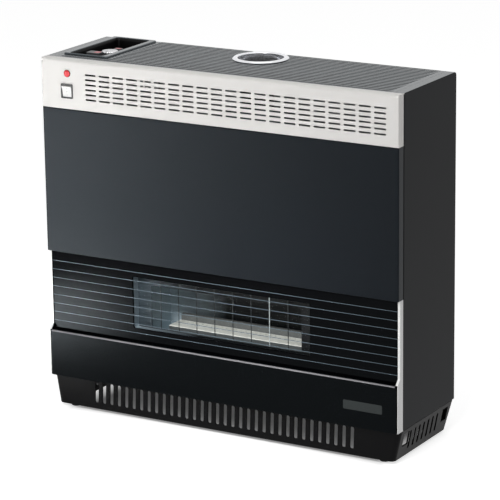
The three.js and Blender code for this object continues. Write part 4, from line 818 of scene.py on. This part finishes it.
# pressed pockets that close the case behind the two keyholes
key_x, pocket_half, pocket_tall, pocket_deep = 250, 11, 35, 8.2
pocket_top = at("rear_panel")[1][2] - 52
for name, x in (("left", -key_x), ("right", key_x)):
    outline = oblong(x - pocket_half, x + pocket_half, pocket_top - pocket_tall, pocket_top, 6)
    hollow = oblong(x - pocket_half + 1, x + pocket_half - 1, pocket_top - pocket_tall + 1, pocket_top - 1, 5)
    outer = prism("y", outline, rear - pocket_deep, rear - sheet + 0.1)
    room = prism("y", hollow, rear - pocket_deep + 1, rear)
    piece("keyhole_pocket_" + name, soften(cut(outer, room)), "case", zinc)

# ------------------------------------------------------------------ floor, lights and world
floor_mesh = bpy.data.meshes.new("floor")
floor_reach = 30
floor_corners = [(u * floor_reach, v * floor_reach, 0) for u, v in ((-1, -1), (1, -1), (1, 1), (-1, 1))]
floor_mesh.from_pydata(floor_corners, [], [(0, 1, 2, 3)])
floor = bpy.data.objects.new("floor", floor_mesh)
scene.collection.objects.link(floor)
floor_glow, shade_below, shade_inset, sky_light = 0.7, 0.09, 34, 0.3
f = Shader("floor")
f.body.inputs["Base Color"].default_value = (0.86, 0.86, 0.86, 1)
f.body.inputs["Roughness"].default_value = 1
f.body.inputs["Specular IOR Level"].default_value = 0
f.body.inputs["Emission Color"].default_value = (1, 1, 1, 1)


def seen(tree):
    """1 for the rays of the camera, of gloss and of glass, 0 for those that light the object."""
    path = tree.nodes.new("ShaderNodeLightPath")
    total = path.outputs["Is Camera Ray"]
    for name in ("Is Glossy Ray", "Is Transmission Ray"):
        most = tree.nodes.new("ShaderNodeMath")
        most.operation = "MAXIMUM"
        tree.links.new(total, most.inputs[0])
        tree.links.new(path.outputs[name], most.inputs[1])
        total = most.outputs[0]
    return total


def scaled(tree, value, low, high):
    """A value from 0 to 1 made to run from low to high."""
    made = tree.nodes.new("ShaderNodeMapRange")
    made.inputs["To Min"].default_value = low
    made.inputs["To Max"].default_value = high
    tree.links.new(value, made.inputs["Value"])
    return made.outputs["Result"]


def under_the_case():
    """Low on the floor below the case, where little light comes, rising to 1 a little outside it."""
    split = f.node("ShaderNodeSeparateXYZ")
    f.link(f.place, split.inputs["Vector"])
    edges = []
    for axis, middle, limit in (("X", 0, (half - shade_inset) * MM),
                                ("Y", (face + rear) / 2 * MM, (rear - face) / 2 * MM)):
        offset = f.node("ShaderNodeMath", operation="SUBTRACT")
        f.link(split.outputs[axis], offset.inputs[0])
        offset.inputs[1].default_value = middle
        size = f.node("ShaderNodeMath", operation="ABSOLUTE")
        f.link(offset.outputs[0], size.inputs[0])
        edge = f.node("ShaderNodeMath", operation="SUBTRACT")
        f.link(size.outputs[0], edge.inputs[0])
        edge.inputs[1].default_value = limit
        edges.append(edge.outputs[0])
    far = f.node("ShaderNodeMath", operation="MAXIMUM")
    for i in (0, 1):
        f.link(edges[i], far.inputs[i])
    return f.spread(far.outputs[0], shade_below, 1, -0.03, 0.012)


glow = f.node("ShaderNodeMath", operation="MULTIPLY")
f.link(scaled(f.tree, seen(f.tree), 0, floor_glow), glow.inputs[0])
f.link(under_the_case(), glow.inputs[1])
f.link(glow.outputs[0], f.body.inputs["Emission Strength"])
floor_mesh.materials.append(f.material)

world = bpy.data.worlds.new("studio")
scene.world = world
world.use_nodes = True
sky = world.node_tree.nodes["Background"]
sky.inputs["Color"].default_value = (1, 1, 1, 1)
sky_strength = scaled(world.node_tree, seen(world.node_tree), sky_light, 1)
world.node_tree.links.new(sky_strength, sky.inputs["Strength"])


def lamp(name, place, target, size, power, spread=180):
    """An area lamp in metres and watts, with its spread in degrees."""
    data = bpy.data.lights.new(name, "AREA")
    data.shape = "RECTANGLE"
    data.size, data.size_y = size
    data.energy = power
    data.spread = math.radians(spread)
    made = bpy.data.objects.new(name, data)
    scene.collection.objects.link(made)
    made.location = place
    made.rotation_mode = "QUATERNION"
    made.rotation_quaternion = (Vector(target) - Vector(place)).to_track_quat("-Z", "Y")


lamp("key", (0.55, -2.8, 2.3), (0, 0, 0.3), (1.2, 1.2), 36)
lamp("top", (0.3, -0.3, 3.0), (0, 0, 0.3), (2.4, 1.6), 10)
lamp("floor_pool", (-1.65, -1.6, 1.3), (-1.65, -1.55, 0), (0.7, 1.3), 68, 27)
lamp("near_pool", (-0.76, -0.54, 0.8), (-0.75, -0.53, 0), (0.36, 0.36), 12.5, 20)
lamp("window_fill", (0, -1.0, 1.05), (0, -0.04, 0.17), (0.5, 0.12), 0.6, 22)
